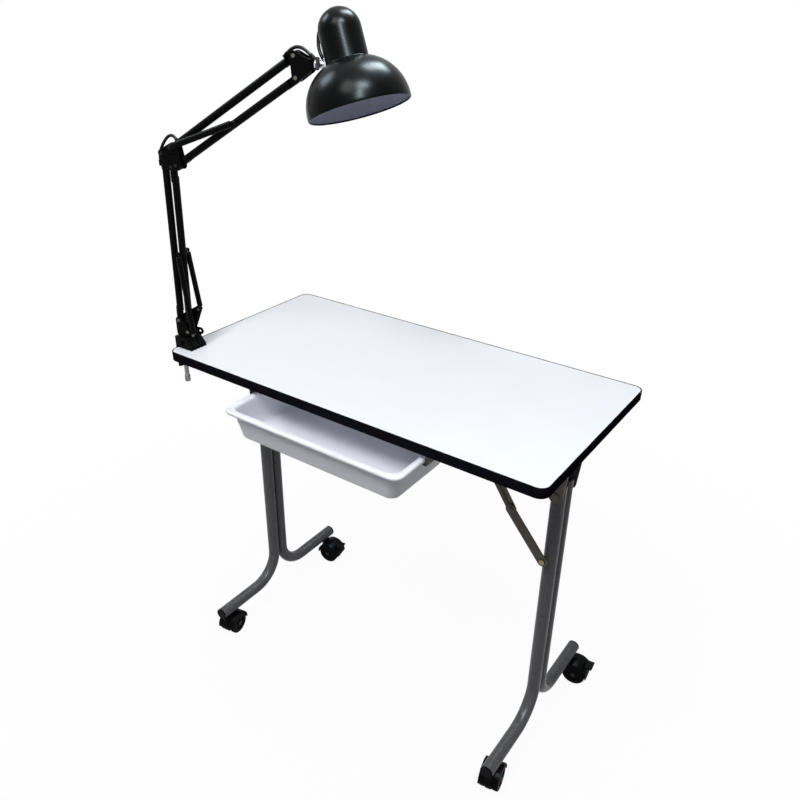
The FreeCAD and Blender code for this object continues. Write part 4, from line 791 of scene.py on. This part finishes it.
def spring_wire(name, start, along, across):
    # an eye round the pin, a straight neck and the first turn of the coil
    path = []
    for i in range(EYE_STEPS + 1):
        angle = math.radians(EYE_START + EYE_TURN * i / EYE_STEPS)
        path.append(start + (along * math.cos(angle) + across * math.sin(angle)) * SPRING_EYE * MM)
    path.append(start + along * HOOK_START * MM)
    path.append(start + along * HOOK_LENGTH * MM)
    third = along.cross(across)
    for i in range(COIL_STEPS + 1):
        angle = 2 * math.pi * i / COIL_STEPS
        radius = COIL_RADIUS * min(1.0, COIL_NARROW + i / COIL_STEPS)
        rise = HOOK_LENGTH + COIL_GAP + COIL_PITCH * i / COIL_STEPS
        out = (across * math.cos(angle) + third * math.sin(angle)) * radius
        path.append(start + (along * rise + out) * MM)
    return tube(name, path, [SPRING_WIRE * MM] * len(path), WIRE_SIDES)


def make_spring(name, node, low, high, radius):
    along = (high - low).normalized()
    across = along.cross(ARM_SIDE).normalized()
    length = (high - low).length / MM
    turn = Matrix((across, ARM_SIDE, along)).transposed().to_4x4()
    place = Matrix.Translation(low) @ turn
    start = SLEEVE_START
    end = length - SLEEVE_START
    # radius and distance from the end: the hole, the end face and the shoulder
    nose = ((COIL_RADIUS, SLEEVE_HOLE), (COIL_RADIUS, 0.0), (radius - SLEEVE_ROUND, 0.0),
            (radius - SHOULDER_DEPTH, SHOULDER_START), (radius, SHOULDER_END))
    plain = end - start - 2 * SHOULDER_END
    profile = [(out, start + up) for out, up in nose]
    for i in range(1, SLEEVE_RINGS):
        profile.append((radius, start + SHOULDER_END + plain * i / SLEEVE_RINGS))
    profile += [(out, end - up) for out, up in reversed(nose)]
    sleeve = lathe(name + "_sleeve", profile, place, SLEEVE_SIDES)
    wires = [spring_wire("low", low, along, across), spring_wire("high", high, -along, across)]
    whole = merge(name, [sleeve] + wires, lamp_black)
    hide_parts(node)
    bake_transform(whole)


# Where the springs hook on: angle of the arms, distance of the clips along them, anchors out and up
LOWER_LEAN = math.radians(88.5)
UPPER_RISE = math.radians(32.5)
LOWER_CLIP = 157.0
UPPER_CLIP = 146.0
SPRING_SIDE = 15.0
NEAR_ANCHOR = (23.5, -23.0)
EAR_ANCHOR = (24.5, 21.4)


def clip_point(start, lean, length, side):
    return arm_point(start, length * math.cos(lean), length * math.sin(lean), side)


def make_springs():
    base = pivot("lamp_lower_arm")
    swivel = pivot("lamp_swivel")
    base_axis = Vector((swivel.x, swivel.y, base.z))
    near_anchor = arm_point(base_axis, *NEAR_ANCHOR, -SPRING_SIDE)
    ear_anchor = arm_point(base_axis, *EAR_ANCHOR, SPRING_SIDE)
    elbow_anchor = arm_point(pivot("lamp_upper_arm"), 0, 0, -SPRING_SIDE)
    near_clip = clip_point(pivot("lamp_lower_link"), LOWER_LEAN, LOWER_CLIP, -SPRING_SIDE)
    far_clip = clip_point(pivot("lamp_lower_link"), LOWER_LEAN, LOWER_CLIP, SPRING_SIDE)
    upper_clip = clip_point(pivot("lamp_upper_link"), UPPER_RISE, UPPER_CLIP, -SPRING_SIDE)
    make_spring("lower_spring_near", "spring_lower_near", near_anchor, near_clip, SLEEVE_RADIUS)
    make_spring("lower_spring_far", "spring_lower_far", ear_anchor, far_clip, SLEEVE_RADIUS)
    make_spring("upper_spring", "spring_upper", elbow_anchor, upper_clip, UPPER_SLEEVE_RADIUS)


make_springs()

# Stage: a pale floor that keeps a faint shadow, and a white surround
FLOOR_HALF = 30.0
# the floor's grey where it lights the object, and its pale grey where it is seen
FLOOR_GREY = 0.3
FLOOR_PALE = 0.9
# share of plain white in the seen floor near the object; it rises to one between the two distances
FLOOR_WHITE_SHARE = 0.95
FLOOR_FADE_START = 0.35
FLOOR_FADE_END = 1.5
WORLD_AMBIENT = (0.25, 0.255, 0.27)


def light_path_share(tree):
    # one for rays that should see the white surround: camera, glossy and transmission rays
    path = tree.nodes.new("ShaderNodeLightPath")
    both = tree.nodes.new("ShaderNodeMath")
    both.operation = "MAXIMUM"
    tree.links.new(path.outputs["Is Camera Ray"], both.inputs[0])
    tree.links.new(path.outputs["Is Glossy Ray"], both.inputs[1])
    every = tree.nodes.new("ShaderNodeMath")
    every.operation = "MAXIMUM"
    tree.links.new(both.outputs[0], every.inputs[0])
    tree.links.new(path.outputs["Is Transmission Ray"], every.inputs[1])
    return every.outputs[0]


def grey_diffuse(tree, grey):
    shader = tree.nodes.new("ShaderNodeBsdfDiffuse")
    shader.inputs["Color"].default_value = (grey, grey, grey, 1)
    return shader


def make_floor():
    corners = [(-FLOOR_HALF, -FLOOR_HALF, 0), (FLOOR_HALF, -FLOOR_HALF, 0),
               (FLOOR_HALF, FLOOR_HALF, 0), (-FLOOR_HALF, FLOOR_HALF, 0)]
    floor = add_mesh("floor", corners, [(0, 1, 2, 3)])
    material = bpy.data.materials.new("floor")
    material.use_nodes = True
    tree = material.node_tree
    tree.nodes.clear()
    out = tree.nodes.new("ShaderNodeOutputMaterial")
    plain = grey_diffuse(tree, FLOOR_GREY)
    lit = grey_diffuse(tree, FLOOR_PALE)
    glow = tree.nodes.new("ShaderNodeEmission")
    glow.inputs["Strength"].default_value = 1.0
    seen = tree.nodes.new("ShaderNodeMixShader")
    shape = tree.nodes.new("ShaderNodeNewGeometry")
    far = tree.nodes.new("ShaderNodeVectorMath")
    far.operation = "LENGTH"
    tree.links.new(shape.outputs["Position"], far.inputs[0])
    fade = tree.nodes.new("ShaderNodeMapRange")
    fade.inputs["From Min"].default_value = FLOOR_FADE_START
    fade.inputs["From Max"].default_value = FLOOR_FADE_END
    fade.inputs["To Min"].default_value = FLOOR_WHITE_SHARE
    fade.inputs["To Max"].default_value = 1.0
    tree.links.new(far.outputs["Value"], fade.inputs["Value"])
    tree.links.new(fade.outputs["Result"], seen.inputs["Fac"])
    tree.links.new(lit.outputs[0], seen.inputs[1])
    tree.links.new(glow.outputs[0], seen.inputs[2])
    mix = tree.nodes.new("ShaderNodeMixShader")
    tree.links.new(light_path_share(tree), mix.inputs["Fac"])
    tree.links.new(plain.outputs[0], mix.inputs[1])
    tree.links.new(seen.outputs[0], mix.inputs[2])
    tree.links.new(mix.outputs[0], out.inputs[0])
    floor.data.materials.append(material)


def make_world():
    world = bpy.data.worlds.new("surround")
    bpy.context.scene.world = world
    world.use_nodes = True
    tree = world.node_tree
    tree.nodes.clear()
    out = tree.nodes.new("ShaderNodeOutputWorld")
    dim = tree.nodes.new("ShaderNodeBackground")
    dim.inputs["Color"].default_value = (*WORLD_AMBIENT, 1)
    white = tree.nodes.new("ShaderNodeBackground")
    white.inputs["Color"].default_value = (1, 1, 1, 1)
    mix = tree.nodes.new("ShaderNodeMixShader")
    tree.links.new(light_path_share(tree), mix.inputs["Fac"])
    tree.links.new(dim.outputs[0], mix.inputs[1])
    tree.links.new(white.outputs[0], mix.inputs[2])
    tree.links.new(mix.outputs[0], out.inputs[0])


make_floor()
make_world()

# Lamps: name, place, what it points at, width, height, watts
SHADE_SPOT = (-0.02, -0.08, 1.2)
TABLE_SPOT = (0, 0, 0.7)
WINDOW_BLUE = (0.76, 0.92, 1.0)


def area_light(name, place, target, width, height, watts, only_gloss=False):
    # a lamp that only shows in glossy surfaces gives them a window to mirror and leaves the light level alone
    data = bpy.data.lights.new(name, "AREA")
    data.shape = "RECTANGLE"
    data.size = width
    data.size_y = height
    data.energy = watts
    if only_gloss:
        data.color = WINDOW_BLUE
    lamp = bpy.data.objects.new(name, data)
    bpy.context.scene.collection.objects.link(lamp)
    way = Vector(target) - Vector(place)
    lamp.location = place
    lamp.rotation_euler = way.to_track_quat("-Z", "Y").to_euler()
    lamp.visible_diffuse = not only_gloss


area_light("ceiling", (-0.1, 0.0, 3.6), TABLE_SPOT, 3.0, 3.0, 36.0)
area_light("front", (0.05, -1.5, 2.85), TABLE_SPOT, 0.9, 0.9, 46.0)
area_light("window_back", (0.0, 0.94, 2.97), SHADE_SPOT, 0.6, 1.3, 170.0, only_gloss=True)
area_light("window_front", (1.05, -1.38, 2.4), SHADE_SPOT, 0.3, 0.7, 90.0, only_gloss=True)
area_light("window_top", (0.85, -0.85, 2.85), SHADE_SPOT, 0.7, 0.35, 120.0, only_gloss=True)
area_light("window_left", (-1.6, -0.48, 2.45), SHADE_SPOT, 0.7, 0.7, 36.0, only_gloss=True)

# Camera at the viewpoint of the photograph
CAMERA_PLACE = Vector((0.749768, -1.067412, 1.353094))
CAMERA_AZIMUTH = math.radians(34.823)
CAMERA_ELEVATION = math.radians(28.078)
CAMERA_ROLL = math.radians(0.866)
CAMERA_LENS = 35.099
SENSOR = 36.0


def make_camera():
    data = bpy.data.cameras.new("camera")
    data.sensor_width = SENSOR
    data.lens = CAMERA_LENS
    camera = bpy.data.objects.new("camera", data)
    bpy.context.scene.collection.objects.link(camera)
    back = Vector((math.sin(CAMERA_AZIMUTH) * math.cos(CAMERA_ELEVATION),
                   -math.cos(CAMERA_AZIMUTH) * math.cos(CAMERA_ELEVATION), math.sin(CAMERA_ELEVATION)))
    right = Vector((math.cos(CAMERA_AZIMUTH), math.sin(CAMERA_AZIMUTH), 0))
    up = back.cross(right)
    rolled_right = right * math.cos(CAMERA_ROLL) + up * math.sin(CAMERA_ROLL)
    rolled_up = up * math.cos(CAMERA_ROLL) - right * math.sin(CAMERA_ROLL)
    turn = Matrix((rolled_right, rolled_up, back)).transposed().to_4x4()
    camera.matrix_world = Matrix.Translation(CAMERA_PLACE) @ turn
    bpy.context.scene.camera = camera


make_camera()
bpy.context.scene.view_settings.view_transform = "Standard"
